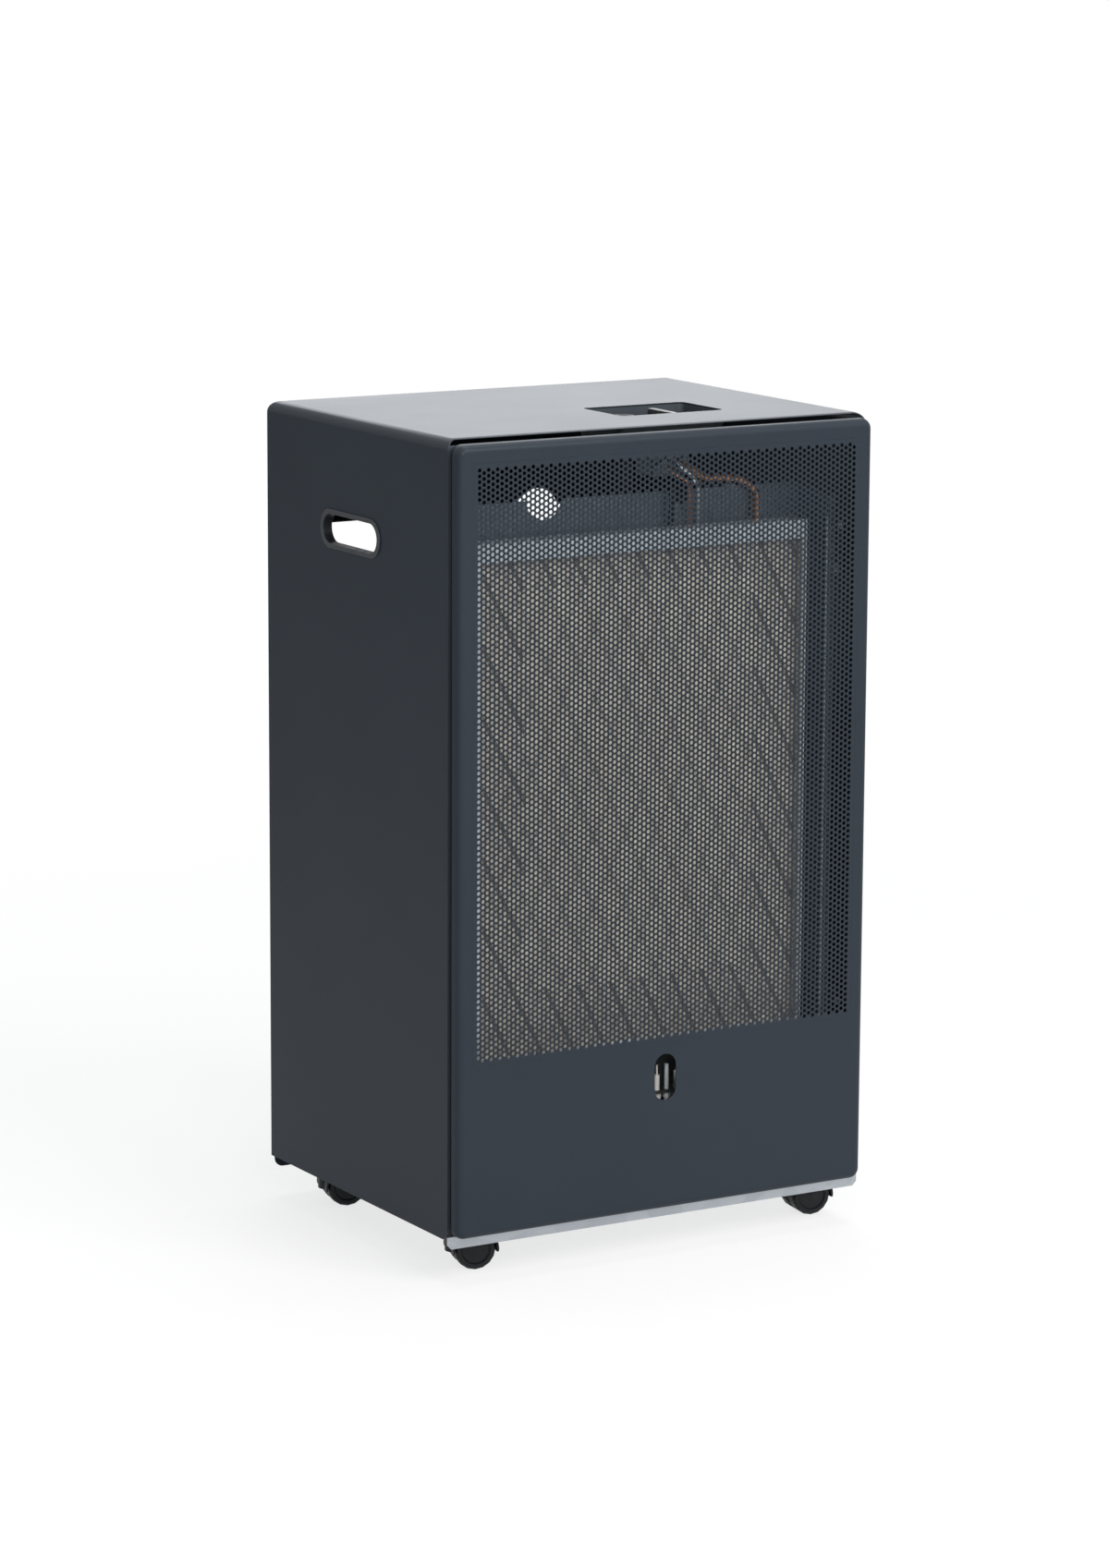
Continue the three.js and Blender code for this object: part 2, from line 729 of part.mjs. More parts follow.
function valveNut() {
  const body = ring(knobX, knobY, wellFloorTop + fitGap, nutTop, valveNutWidth, neckHole, 6)
    .subtract(rod(knobX, knobY, wellFloorTop, nutTop + 1, neckHole));
  return piece('valve_nut', body, brass());
}

function valveSpindle() {
  const shaft = rod(knobX, knobY, spindleBottom, spindleTop, spindleDiameter);
  const flat = box(knobX + spindleDiameter / 3, knobX + spindleDiameter,
    knobY - spindleDiameter, knobY + spindleDiameter, knobBottom, spindleTop + 1);
  return piece('valve_spindle', shaft.subtract(flat), brass());
}

function thrustCollar() {
  const top = knobBottom - fitGap;
  const body = ring(knobX, knobY, top - thrustHeight, top, thrustDiameter, spindleDiameter + 4 * fitGap);
  return piece('thrust_collar', body, chrome());
}

function controlKnob() {
  const r = knobDiameter / 2;
  const skirtTop = knobBottom + knobSkirt;
  const crownTop = skirtTop + knobCrown;
  const barHalf = knobBarWidth / 2;
  const crown = turned([
    [0, knobBottom], [r - 1, knobBottom], [r, knobBottom + 1], [r, skirtTop - 0.6], [r - 1, skirtTop],
    [r - 4, skirtTop], [r - 5.5, crownTop - 0.8], [r - 6.5, crownTop], [0, crownTop],
  ], 30);
  const bar = roundedRect(knobX - barHalf, knobY - r + 5, knobX + barHalf, knobY + r - 5, barHalf - 0.5);
  let body = solid(crown.rotateX(Math.PI / 2).translate(knobX, knobY, 0));
  body = body.add(slab(bar, crownTop - 1, knobBarHeight + 1));
  body = body.subtract(rod(knobX, knobY, knobBottom - 1, spindleTop + fitGap, spindleDiameter + 2 * fitGap));
  return piece('control_knob', body, blackPlastic());
}

function hoseNozzle() {
  const r = nozzleDiameter / 2;
  const root = r - 1.5;
  const bore = nozzleBore / 2;
  const barb = nozzleLength * 0.22;
  const profile = [[bore, 0], [r + 3, 0], [r + 3, 7], [root, 9]];
  for (let h = nozzleLength * 0.3; h < nozzleLength - barb; h += barb) {
    profile.push([root, h], [r, h + 0.5], [root, h + barb]);
  }
  profile.push([root, nozzleLength], [bore, nozzleLength], [bore, 0]);
  const geometry = turned(profile, 14);
  geometry.translate(knobX, knobY + valveDepth / 2 + fitGap, valveBottom + valveHeight / 2);
  return piece('hose_nozzle', solid(geometry), brass());
}

// ---------------------------------------------------------------- igniter
function piezoBarrel() {
  const socketBottom = wellFloorTop - piezoStemDiameter;
  const rim = piezoButtonDiameter + 2;
  let body = rod(piezoX, piezoY, piezoBottom, piezoRimTop, piezoBarrelDiameter, 18);
  body = body.add(rod(piezoX, piezoY, wellFloorTop + fitGap, piezoRimTop, rim, 24));
  body = body.add(rod(piezoX, piezoY, piezoBottom - piezoTerminal, piezoBottom + 1, leadDiameter + 1, 10));
  body = body.subtract(rod(piezoX, piezoY, socketBottom, casingTop, piezoStemDiameter + 2 * fitGap, 18));
  return piece('piezo_barrel', body, blackPlastic());
}

function piezoNut() {
  const top = wellFloorBottom - fitGap;
  const hole = piezoBarrelDiameter + 2 * fitGap;
  const body = rod(piezoX, piezoY, top - piezoNutHeight, top, piezoNutWidth, 6)
    .subtract(rod(piezoX, piezoY, top - 2 * piezoNutHeight, casingTop, hole, 18));
  return piece('piezo_nut', body, galvanised());
}

function piezoButton() {
  const r = piezoButtonDiameter / 2;
  const low = piezoRimTop + piezoTravel + 1;
  const stemBottom = wellFloorTop - piezoStemDiameter + piezoTravel + 1;
  const cap = turned([[0, low], [r, low], [r, buttonTop - 2], [r - 2, buttonTop], [0, buttonTop - 1]], 24);
  let body = solid(cap.rotateX(Math.PI / 2).translate(piezoX, piezoY, 0));
  body = body.add(rod(piezoX, piezoY, stemBottom, low + 1, piezoStemDiameter, 18));
  return piece('piezo_button', body, blackPlastic());
}

// ---------------------------------------------------------------- burner
// block behind the frame, `inset` in from the burner's outline
function burnerBlock(inset, y0, y1) {
  return box(-burnerHalf + inset, burnerHalf - inset, y0, y1, burnerBottom + inset, burnerTop - inset);
}

function burnerFrame() {
  const window = box(-burnerHalf + frameStile, burnerHalf - frameStile, burnerFace - 1, burnerBack,
    burnerBottom + frameRail, burnerTop - frameRail);
  const body = burnerBlock(0, burnerFace, burnerFace + frameSkirt)
    .subtract(burnerBlock(sheetWall, burnerFace + sheetWall, burnerBack))
    .subtract(window);
  return piece('burner_frame', body, galvanised());
}

function burnerTray() {
  const body = burnerBlock(frameSeat, burnerFace + frameSeat, burnerBack)
    .subtract(burnerBlock(frameSeat + sheetWall, burnerFace, burnerBack - sheetWall))
    .subtract(rodAlongY(mainTubeX, injectorZ, burnerFace, housingBack, injectorDiameter + 2 * fitGap));
  return piece('burner_tray', body, galvanised());
}

function ceramicBlanket() {
  const hole = injectorDiameter + 4;
  const body = burnerBlock(2 * frameSeat, blanketFront, blanketBack)
    .subtract(rodAlongY(mainTubeX, injectorZ, blanketBack - injectorInside, housingBack, hole, 12));
  return piece('ceramic_blanket', body, wool());
}

// sloping border round a flat crown that faces the front
function pillow(base) {
  const corners = [];
  const addRing = (inset, y) => {
    const half = burnerHalf - inset;
    corners.push([-half, y, burnerBottom + inset], [half, y, burnerBottom + inset]);
    corners.push([half, y, burnerTop - inset], [-half, y, burnerTop - inset]);
  };
  const edge = 2 * frameSeat + 1;
  addRing(edge, base + 1);
  addRing(edge, base);
  addRing(frameRail + padRamp / 2, base - padCrown * 0.75);
  addRing(frameRail + padRamp, base - padCrown);
  const index = [0, 2, 1, 0, 3, 2, 12, 13, 14, 12, 14, 15];
  for (let a = 0; a < 12; a += 1) {
    const b = a % 4 === 3 ? a - 3 : a + 1;
    index.push(a, b, b + 4, a, b + 4, a + 4);
  }
  const geometry = new THREE.BufferGeometry();
  geometry.setAttribute('position', new THREE.BufferAttribute(new Float32Array(corners.flat()), 3));
  geometry.setIndex(index);
  return solid(geometry);
}

function catalyticPad() {
  const base = guardBack + fitGap + padCrown;
  const body = burnerBlock(2 * frameSeat, base, blanketFront - fitGap).add(pillow(base));
  return piece('catalytic_pad', body, catalyst());
}

// welded guard of crossing wires between frame and pad
function wireGuard() {
  const inset = 2 * frameSeat;
  const width = burnerWidth - 2 * inset - guardWire;
  const height = burnerHeight - 2 * inset - guardWire;
  const columns = Math.max(2, Math.round(width / guardPitch));
  const rows = Math.max(2, Math.round(height / guardPitch));
  const gaps = [];
  for (let i = 0; i < columns; i += 1) {
    for (let j = 0; j < rows; j += 1) {
      const gap = new THREE.BoxGeometry(width / columns - guardWire, 4 * guardWire, height / rows - guardWire);
      gap.translate((i + 0.5 - columns / 2) * width / columns, guardBack,
        (burnerTop + burnerBottom) / 2 + (j + 0.5 - rows / 2) * height / rows);
      gaps.push(gap);
    }
  }
  const body = burnerBlock(inset, guardBack - guardWire, guardBack).subtract(solid(mergeGeometries(gaps)));
  return piece('wire_guard', body, darkSteel());
}

// ---------------------------------------------------------------- housing, brackets and hangers
function cheek(side) {
  const shape = outline([
    [housingFront, housingBottom], [housingBack + sheetWall, housingBottom],
    [housingBack + sheetWall, housingTop], [housingFront, housingTop - housingCornerDrop]]);
  const plate = sidePlate(shape, side > 0 ? housingHalf - sheetWall : -housingHalf, sheetWall);
  return plate.add(box(side * (housingHalf - sheetWall), side * (housingHalf + housingHem),
    housingFront, housingFront + sheetWall, housingBottom, housingTop - housingCornerDrop));
}

function burnerHousing() {
  const notch = (x, radius) => rodAlongY(x, housingTop, housingFront, housingBack + 2 * sheetWall, 2 * radius, 20);
  let body = box(-housingHalf, housingHalf, housingBack, housingBack + sheetWall, housingBottom, housingTop);
  body = body.add(cheek(-1)).add(cheek(1));
  body = body.subtract(notch(sightNotchX, sightNotchRadius)).subtract(notch(tubeNotchX, tubeNotchRadius));
  return piece('burner_housing', body, darkSteel());
}

// strap from the housing's cheek to the casing's side
function housingBracket(name, side, z) {
  const inner = side * (housingHalf + fitGap);
  const outer = side * (sideInner - fitGap);
  const wall = side * sheetWall;
  const front = behindFront(bracketSetback);
  const back = front + bracketReach;
  const bent = outline([
    [inner, front], [inner + wall, front], [inner + wall, back - sheetWall], [outer - wall, back - sheetWall],
    [outer - wall, front], [outer, front], [outer, back], [inner, back]]);
  return piece(name, slab(bent, z - bracketHeight / 2, bracketHeight), galvanised());
}

// stepped clip from the burner's back to the housing
function burnerHanger(name, x, z) {
  const near = burnerBack + fitGap;
  const far = housingBack - fitGap;
  const half = hangerWidth / 2;
  const bent = outline([
    [x - half, near], [x + sheetWall, near], [x + sheetWall, far - sheetWall], [x + half, far - sheetWall],
    [x + half, far], [x, far], [x, near + sheetWall], [x - half, near + sheetWall]]);
  return piece(name, slab(bent, z - hangerHeight / 2, hangerHeight), galvanised());
}

// ---------------------------------------------------------------- pilot
function pilotBracket() {
  const left = pilotX - pilotPlateWidth / 2;
  const right = left + pilotPlateWidth;
  const back = burnerFace - fitGap;
  let body = box(left, right, back - sheetWall, back, pilotZ, pilotZ + pilotPlateRise);
  body = body.add(box(left, right, pilotY - pilotShelfFront, back, pilotZ, pilotZ + sheetWall));
  body = body.add(box(left, left + sheetWall, pilotY, back, pilotZ, pilotZ + pilotGusset));
  const held = [[-1, electrodeDiameter], [0, probeDiameter], [1, pilotBurnerDiameter]];
  for (const [place, diameter] of held) {
    body = body.subtract(rod(pilotX + place * pilotSpacing, pilotY, pilotZ - 1, pilotZ + 2 * sheetWall,
      diameter + 2 * fitGap, 12));
  }
  return piece('pilot_bracket', body, chrome());
}

// upright rod through the shelf with a nut below it
function throughShelf(x, diameter, rise, sides) {
  return rod(x, pilotY, pilotZ - pilotTail, pilotZ + rise, diameter, 12)
    .add(rod(x, pilotY, pilotZ - fitGap - pilotNutHeight, pilotZ - fitGap, diameter + 3, sides));
}

function ignitionElectrode() {
  const x = pilotX - pilotSpacing;
  const pin = rod(x, pilotY, pilotZ + pilotHeight - 4, pilotZ + pilotHeight + 6, electrodePin, 8);
  const body = throughShelf(x, electrodeDiameter, pilotHeight - 3, 12).add(pin);
  return piece('ignition_electrode', body, ceramic());
}

function thermocoupleProbe() {
  return piece('thermocouple_probe', throughShelf(pilotX, probeDiameter, pilotHeight + 6, 6), copper());
}

function pilotBurner() {
  const x = pilotX + pilotSpacing;
  const mouth = rod(x, pilotY, pilotZ + pilotHeight / 2, pilotZ + pilotHeight + 1, pilotBurnerDiameter - 3, 12);
  const body = throughShelf(x, pilotBurnerDiameter, pilotHeight, 6).subtract(mouth);
  return piece('pilot_burner', body, brass());
}

// ---------------------------------------------------------------- pipework
function injectorElbow() {
  const half = injectorBody / 2;
  let body = box(mainTubeX - half, mainTubeX + half, burnerBack + fitGap, housingBack - fitGap,
    injectorZ - half, injectorZ + half);
  body = body.add(rodAlongY(mainTubeX, injectorZ, burnerBack - injectorInside, pipeY, injectorDiameter));
  body = body.add(rod(mainTubeX, pipeY, injectorZ, injectorZ + injectorNut, injectorDiameter, 6));
  return piece('injector_elbow', body, brass());
}

function burnerTube() {
  const out = portFace - fitGap;
  const across = (share) => mainPort.x + (mainTubeX - mainPort.x) * share;
  const behind = (share) => pipeY + (out - pipeY) * share;
  return piece('burner_tube', tube([
    [mainPort.x, out, mainPort.z],
    [mainPort.x, behind(0.75), mainPort.z],
    [across(0.17), behind(0.4), overHousing + 6],
    [across(0.47), behind(0.12), overHousing + 5],
    [across(0.83), pipeY, overHousing],
    [across(0.98), pipeY, overHousing - mainTubeBend * 0.42],
    [mainTubeX, pipeY, overHousing - mainTubeBend],
    [mainTubeX, pipeY, injectorZ + 2 * injectorNut],
    [mainTubeX, pipeY, injectorZ + injectorNut + fitGap],
  ], mainTubeDiameter, 8), copper());
}

// goes on from the points in `start`, down behind the burner at dropX and up into the pilot at endX
function pilotLine(start, dropX, endX, diameter) {
  const across = (share) => dropX + (endX - dropX) * share;
  return tube([
    ...start,
    [dropX, pipeY + 5, overHousing + 3],
    [dropX, pipeY, overHousing - smallTubeBend / 4],
    [dropX, pipeY, overHousing - smallTubeBend],
    [dropX, pipeY, (burnerTop + burnerBottom) / 2],
    [dropX, pipeY, burnerBottom + 12],
    [across(0.1), pipeY - 4, burnerBottom - 16],
    [across(0.5), (pipeY + pilotY) / 2, pilotZ - 12],
    [across(0.9), pilotY + 7, pilotZ - pilotTail - 12],
    [endX, pilotY, pilotZ - pilotTail - 8],
    [endX, pilotY, pilotZ - pilotTail - fitGap],
  ], diameter, 6);
}

function pilotTube() {
  const out = portFace - fitGap;
  const behind = (share) => pipeY + (out - pipeY) * share;
  const start = [
    [pilotPort.x, out, pilotPort.z],
    [pilotPort.x, behind(0.77), pilotPort.z],
    [(pilotPort.x + pilotTubeX) / 2, behind(0.4), overHousing + 12],
  ];
  return piece('pilot_tube', pilotLine(start, pilotTubeX, pilotX + pilotSpacing, pilotTubeDiameter), aluminium());
}

function thermocoupleLead() {
  const out = portFace - fitGap;
  const behind = (share) => pipeY + (out - pipeY) * share;
  const start = [
    [magnetPort.x, out, magnetPort.z],
    [magnetPort.x, behind(0.77), magnetPort.z],
    [(magnetPort.x + capillaryX) / 2, behind(0.4), overHousing + 8],
  ];
  return piece('thermocouple_lead', pilotLine(start, capillaryX, pilotX, capillaryDiameter), copper());
}

function ignitionLead() {
  const drop = piezoBottom - piezoTerminal - fitGap;
  const behind = (share) => pipeY + (piezoY - pipeY) * share;
  const start = [
    [piezoX, piezoY, drop],
    [piezoX, piezoY, drop - 12],
    [piezoX + 5, behind(0.84), drop - 20],
    [piezoX + 13, behind(0.6), drop - 10],
    [leadX - 1, behind(0.35), overHousing - 4],
  ];
  return piece('ignition_lead', pilotLine(start, leadX, pilotX - pilotSpacing, leadDiameter), blackPlastic());
}

// ---------------------------------------------------------------- casters
// turns a piece modelled round the swivel axis to where that caster stands
function placed(mesh, caster) {
  mesh.geometry.rotateZ(THREE.MathUtils.degToRad(caster.angle));
  mesh.geometry.translate(caster.x, caster.y, 0);
  return mesh;
}

function casterPlate(caster) {
  const half = casterPlateSize / 2;
  const body = slab(roundedRect(-half, -half, half, half, 5), casterPlateBottom, casterPlateThickness)
    .subtract(rod(0, 0, 0, casingTop, casterStemDiameter + 2 * fitGap));
  return placed(piece(`caster_plate_${caster.name}`, body, galvanised()), { ...caster, angle: 0 });
}

function casterHood(caster) {
  const half = casterWeb / 2 + fitGap + wheelWidth;
  const hoodInner = wheelRadius + hoodClearance;
  const hoodOuter = hoodInner + hoodWall;
  const skirt = wheelRadius - hoodSkirt;
  const alongAxle = (x0, x1, diameter, sides) => rodAlongX(casterTrail, wheelRadius, x0, x1, diameter, sides);
  let body = alongAxle(-half, half, 2 * hoodOuter, 20);
  body = body.add(rod(0, 0, skirt, casterPlateBottom - fitGap, casterCollarDiameter, 20));
  body = body.subtract(box(-2 * half, 2 * half, -wheelDiameter, 2 * wheelDiameter, -wheelRadius, skirt));
  for (const side of [-1, 1]) {
    body = body.subtract(alongAxle(side * casterWeb / 2, side * 2 * half, 2 * hoodInner, 20));
  }
  body = body.add(alongAxle(-casterWeb / 2, casterWeb / 2, casterBoss, 16));
  body = body.add(rod(0, 0, casterPlateBottom - 1, trayFloorBottom - fitGap, casterStemDiameter));
  body = body.subtract(alongAxle(-half, half, axleDiameter + 2 * fitGap, 16));
  return placed(piece(`caster_hood_${caster.name}`, body, blackPlastic()), caster);
}

function casterWheel(caster, side) {
  const r = wheelRadius;
  const w = wheelWidth;
  const bore = axleDiameter / 2 + fitGap;
  const geometry = turned([
    [0, w - 4], [bore, w - 4], [bore, 0], [r - 1.5, 0], [r, 1.5], [r, w - 3],
    [r - 1.5, w - 1], [r - 5, w - 0.5], [r - 6, w - 2], [bore + 3, w - 1.5], [0, w],
  ], 16);
  geometry.rotateZ(-side * Math.PI / 2);
  geometry.translate(side * (casterWeb / 2 + fitGap), casterTrail, wheelRadius);
  const label = side < 0 ? 'a' : 'b';
  return placed(piece(`caster_wheel_${caster.name}_${label}`, solid(geometry), blackPlastic()), caster);
}

function casterAxle(caster) {
  const half = casterWeb / 2 + wheelWidth - 4;
  const body = rodAlongX(casterTrail, wheelRadius, -half, half, axleDiameter);
  return placed(piece(`caster_axle_${caster.name}`, body, galvanised()), caster);
}

const casterX = casingWidth / 2 - casterSideInset;
const casterFrontY = behindFront(casterFrontInset);
const casterRearY = casingRear - casterRearInset;
const casters = [
  { name: 'front_left', x: -casterX, y: casterFrontY, angle: casterAngleFrontLeft },
  { name: 'front_right', x: casterX, y: casterFrontY, angle: casterAngleFrontRight },
  { name: 'rear_left', x: -casterX, y: casterRearY, angle: casterAngleRearLeft },
  { name: 'rear_right', x: casterX, y: casterRearY, angle: casterAngleRearRight },
];

// ---------------------------------------------------------------- the whole heater
const group = new THREE.Group();
group.name = 'gas_cabinet_heater';
group.add(casingWrap(), frontPanel(), baseTray(), rearTopPanel(), rearCover());
group.add(gripInsert('left_grip_insert', -1), gripInsert('right_grip_insert', 1));
group.add(controlWell(), valvePlate(), gasValve(), valveNut(), valveSpindle(), thrustCollar(), controlKnob());
group.add(hoseNozzle(), piezoBarrel(), piezoNut(), piezoButton());
group.add(burnerFrame(), burnerTray(), ceramicBlanket(), catalyticPad(), wireGuard(), burnerHousing());
for (const [label, side] of [['left', -1], ['right', 1]]) {
  group.add(housingBracket(`housing_bracket_upper_${label}`, side, aboveHem(bracketUpperAboveHem)));
  group.add(housingBracket(`housing_bracket_lower_${label}`, side, aboveHem(bracketLowerAboveHem)));
  group.add(burnerHanger(`burner_hanger_${label}`, side * hangerUpperX, aboveHem(hangerUpperAboveHem)));
}
group.add(burnerHanger('burner_hanger_lower', 0, aboveHem(hangerLowerAboveHem)));
group.add(pilotBracket(), ignitionElectrode(), thermocoupleProbe(), pilotBurner());
group.add(injectorElbow(), burnerTube(), pilotTube(), thermocoupleLead(), ignitionLead());
for (const caster of casters) {
  group.add(casterPlate(caster), casterHood(caster));
  group.add(casterWheel(caster, -1), casterWheel(caster, 1), casterAxle(caster));
}

export default group;
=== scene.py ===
import json
import math

import bpy
from mathutils import Euler, Matrix, Vector


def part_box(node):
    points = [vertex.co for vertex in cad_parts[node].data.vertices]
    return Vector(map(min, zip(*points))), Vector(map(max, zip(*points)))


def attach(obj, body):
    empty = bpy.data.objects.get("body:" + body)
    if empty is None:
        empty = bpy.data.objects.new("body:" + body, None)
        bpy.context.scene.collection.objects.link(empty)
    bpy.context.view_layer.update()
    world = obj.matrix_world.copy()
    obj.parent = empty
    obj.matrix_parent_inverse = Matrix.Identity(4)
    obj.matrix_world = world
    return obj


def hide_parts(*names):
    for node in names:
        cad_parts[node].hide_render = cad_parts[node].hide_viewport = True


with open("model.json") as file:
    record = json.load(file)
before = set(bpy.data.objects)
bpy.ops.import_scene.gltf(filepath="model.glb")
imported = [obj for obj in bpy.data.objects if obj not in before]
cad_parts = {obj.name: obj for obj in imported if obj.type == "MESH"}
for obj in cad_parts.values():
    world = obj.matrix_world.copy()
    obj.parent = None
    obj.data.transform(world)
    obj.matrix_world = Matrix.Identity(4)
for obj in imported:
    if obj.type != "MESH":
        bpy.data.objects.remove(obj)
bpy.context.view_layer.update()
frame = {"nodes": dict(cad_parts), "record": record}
nodes = frame["nodes"]
mm = 0.001
bleed = 5  # mm that a cutter stands out past what it cuts

# places below are in mm: x from the middle, y behind the casing's front edge, z above its lower edge
casingLow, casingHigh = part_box("casing_wrap")
casingFront = casingLow[1]
casingBottom = casingLow[2]


def place(x, y, z):
    return Vector((x * mm, casingFront + y * mm, casingBottom + z * mm))


def deselectAll():
    if bpy.context.object and bpy.context.object.mode != "OBJECT":
        bpy.ops.object.mode_set(mode="OBJECT")
    bpy.ops.object.select_all(action="DESELECT")


def activate(obj):
    deselectAll()
    obj.select_set(True)
    bpy.context.view_layer.objects.active = obj


def applyAll(obj):
    activate(obj)
    bpy.ops.object.transform_apply(location=True, rotation=True, scale=True)


def applyModifier(obj, modifier):
    activate(obj)
    bpy.ops.object.modifier_apply(modifier=modifier.name)


def clearPicks(obj):
    activate(obj)
    mesh = obj.data
    for part in (mesh.polygons, mesh.edges, mesh.vertices):
        for item in part:
            item.select = False


def editFaces(obj, test):
    clearPicks(obj)
    for face in obj.data.polygons:
        face.select = test(face.center, face.normal)
    bpy.ops.object.mode_set(mode="EDIT")
    bpy.ops.mesh.select_mode(type="FACE")


def editEdges(obj, test):
    clearPicks(obj)
    points = obj.data.vertices
    for edge in obj.data.edges:
        a, b = (points[i].co for i in edge.vertices)
        edge.select = test(a, b)
    bpy.ops.object.mode_set(mode="EDIT")
    bpy.ops.mesh.select_mode(type="EDGE")


def leaveEdit():
    bpy.ops.object.mode_set(mode="OBJECT")


def clearDoubles(obj, distance):
    activate(obj)
    bpy.ops.object.mode_set(mode="EDIT")
    bpy.ops.mesh.select_all(action="SELECT")
    bpy.ops.mesh.remove_doubles(threshold=distance)
    bpy.ops.mesh.dissolve_degenerate(threshold=distance / 10)
    leaveEdit()


def addBox(name, low, high):
    middle = (low + high) / 2
    bpy.ops.mesh.primitive_cube_add(size=1, location=middle, scale=high - low)
    box = bpy.context.object
    box.name = name
    applyAll(box)
    return box


def addRod(name, centre, radius, depth, sides):
    bpy.ops.mesh.primitive_cylinder_add(vertices=sides, radius=radius, depth=depth, location=centre)
    rod = bpy.context.object
    rod.name = name
    applyAll(rod)
    return rod


def roundEdges(obj, test, radius, segments):
    editEdges(obj, test)
    bpy.ops.mesh.bevel(offset=radius, segments=segments, affect="EDGES", profile=0.5)
    leaveEdit()


def softenEdges(obj, width, segments=2, angle=40):
    bevel = obj.modifiers.new("soften", "BEVEL")
    bevel.width = width
    bevel.segments = segments
    bevel.limit_method = "ANGLE"
    bevel.angle_limit = math.radians(angle)
    bevel.harden_normals = False
    applyModifier(obj, bevel)


def thicken(obj, depth, even=True):
    solidify = obj.modifiers.new("sheet", "SOLIDIFY")
    solidify.thickness = depth
    solidify.offset = -1
    solidify.use_even_offset = even
    applyModifier(obj, solidify)


def cutWith(obj, cutters):
    for cutter in cutters:
        boolean = obj.modifiers.new("cut", "BOOLEAN")
        boolean.operation = "DIFFERENCE"
        boolean.solver = "EXACT"
        boolean.object = cutter
        applyModifier(obj, boolean)
        activate(cutter)
        bpy.ops.object.delete()


def smooth(obj, angle=35):
    activate(obj)
    bpy.ops.object.shade_smooth_by_angle(angle=math.radians(angle))
    weighted = obj.modifiers.new("flat faces first", "WEIGHTED_NORMAL")
    weighted.keep_sharp = True
    applyModifier(obj, weighted)


def obround(name, centre, length, height, axis, depth):
    # slot-shaped block through a wall that faces along axis
    low = centre - Vector((length / 2, length / 2, height / 2))
    high = centre + Vector((length / 2, length / 2, height / 2))
    low[axis], high[axis] = centre[axis] - depth / 2, centre[axis] + depth / 2
    slot = addBox(name, low, high)
    # a shade less than half the height, so that two neighbouring bevels don't meet
    ends = min(length, height) / 2
    roundEdges(slot, lambda a, b: abs(a[axis] - b[axis]) > depth / 2, ends * 0.999, 10)
    clearDoubles(slot, 0.05 * mm)
    return slot


def nodeTree(name):
    material = bpy.data.materials.new(name)
    material.use_nodes = True
    tree = material.node_tree
    tree.nodes.clear()
    output = tree.nodes.new("ShaderNodeOutputMaterial")
    shader = tree.nodes.new("ShaderNodeBsdfPrincipled")
    tree.links.new(shader.outputs["BSDF"], output.inputs["Surface"])
    return material, tree, shader


def ramp(tree, source, low, high, dark, light):
    node = tree.nodes.new("ShaderNodeValToRGB")
    node.color_ramp.elements[0].position = low
    node.color_ramp.elements[1].position = high
    node.color_ramp.elements[0].color = (*dark, 1)
    node.color_ramp.elements[1].color = (*light, 1)
    tree.links.new(source, node.inputs["Fac"])
    return node.outputs["Color"]


def spread(tree, source, low, high):
    node = tree.nodes.new("ShaderNodeMapRange")
    node.inputs["To Min"].default_value = low
    node.inputs["To Max"].default_value = high
    tree.links.new(source, node.inputs["Value"])
    return node.outputs["Result"]


def noise(tree, scale, detail=4, stretch=(1, 1, 1)):
    place3d = tree.nodes.new("ShaderNodeTexCoord")
    mapping = tree.nodes.new("ShaderNodeMapping")
    mapping.inputs["Scale"].default_value = stretch
    texture = tree.nodes.new("ShaderNodeTexNoise")
    texture.inputs["Scale"].default_value = scale
    texture.inputs["Detail"].default_value = detail
    tree.links.new(place3d.outputs["Object"], mapping.inputs["Vector"])
    tree.links.new(mapping.outputs["Vector"], texture.inputs["Vector"])
    return texture.outputs["Fac"]


def cells(tree, scale):
    place3d = tree.nodes.new("ShaderNodeTexCoord")
    texture = tree.nodes.new("ShaderNodeTexVoronoi")
    texture.inputs["Scale"].default_value = scale
    tree.links.new(place3d.outputs["Object"], texture.inputs["Vector"])
    return texture.outputs["Color"]


def bump(tree, shader, source, strength, distance):
    node = tree.nodes.new("ShaderNodeBump")
    node.inputs["Strength"].default_value = strength
    node.inputs["Distance"].default_value = distance
    tree.links.new(source, node.inputs["Height"])
    tree.links.new(node.outputs["Normal"], shader.inputs["Normal"])


# what all finishes share: detail of their noises, wear over the piece and depth of the fine bump
grainDetail = 5
wearScale = 9
wearDetail = 6
fineDetail = 3
fineDepth = 0.0004


def makeMaterial(name, look):
    # one finish from its look: two colours, roughness range, grain and bump
    material, tree, shader = nodeTree(name)
    link = tree.links.new
    shader.inputs["Metallic"].default_value = look.get("metal", 0)
    shader.inputs["Specular IOR Level"].default_value = look.get("specular", 0.5)
    shader.inputs["Coat Weight"].default_value = look.get("coat", 0)
    shader.inputs["Coat Roughness"].default_value = look.get("coatRough", 0.2)
    shader.inputs["Specular Tint"].default_value = (*look.get("sheenTint", (1, 1, 1)), 1)
    if look.get("spangle"):
        grain = cells(tree, look["grain"])
    else:
        grain = noise(tree, look["grain"], grainDetail)
    link(ramp(tree, grain, 0.3, 0.7, look["dark"], look["light"]), shader.inputs["Base Color"])
    wear = noise(tree, wearScale, wearDetail)
    link(spread(tree, wear, *look["rough"]), shader.inputs["Roughness"])
    fine = noise(tree, look.get("fine", 900), fineDetail)
    bump(tree, shader, fine, look["bump"], fineDepth)
    return material


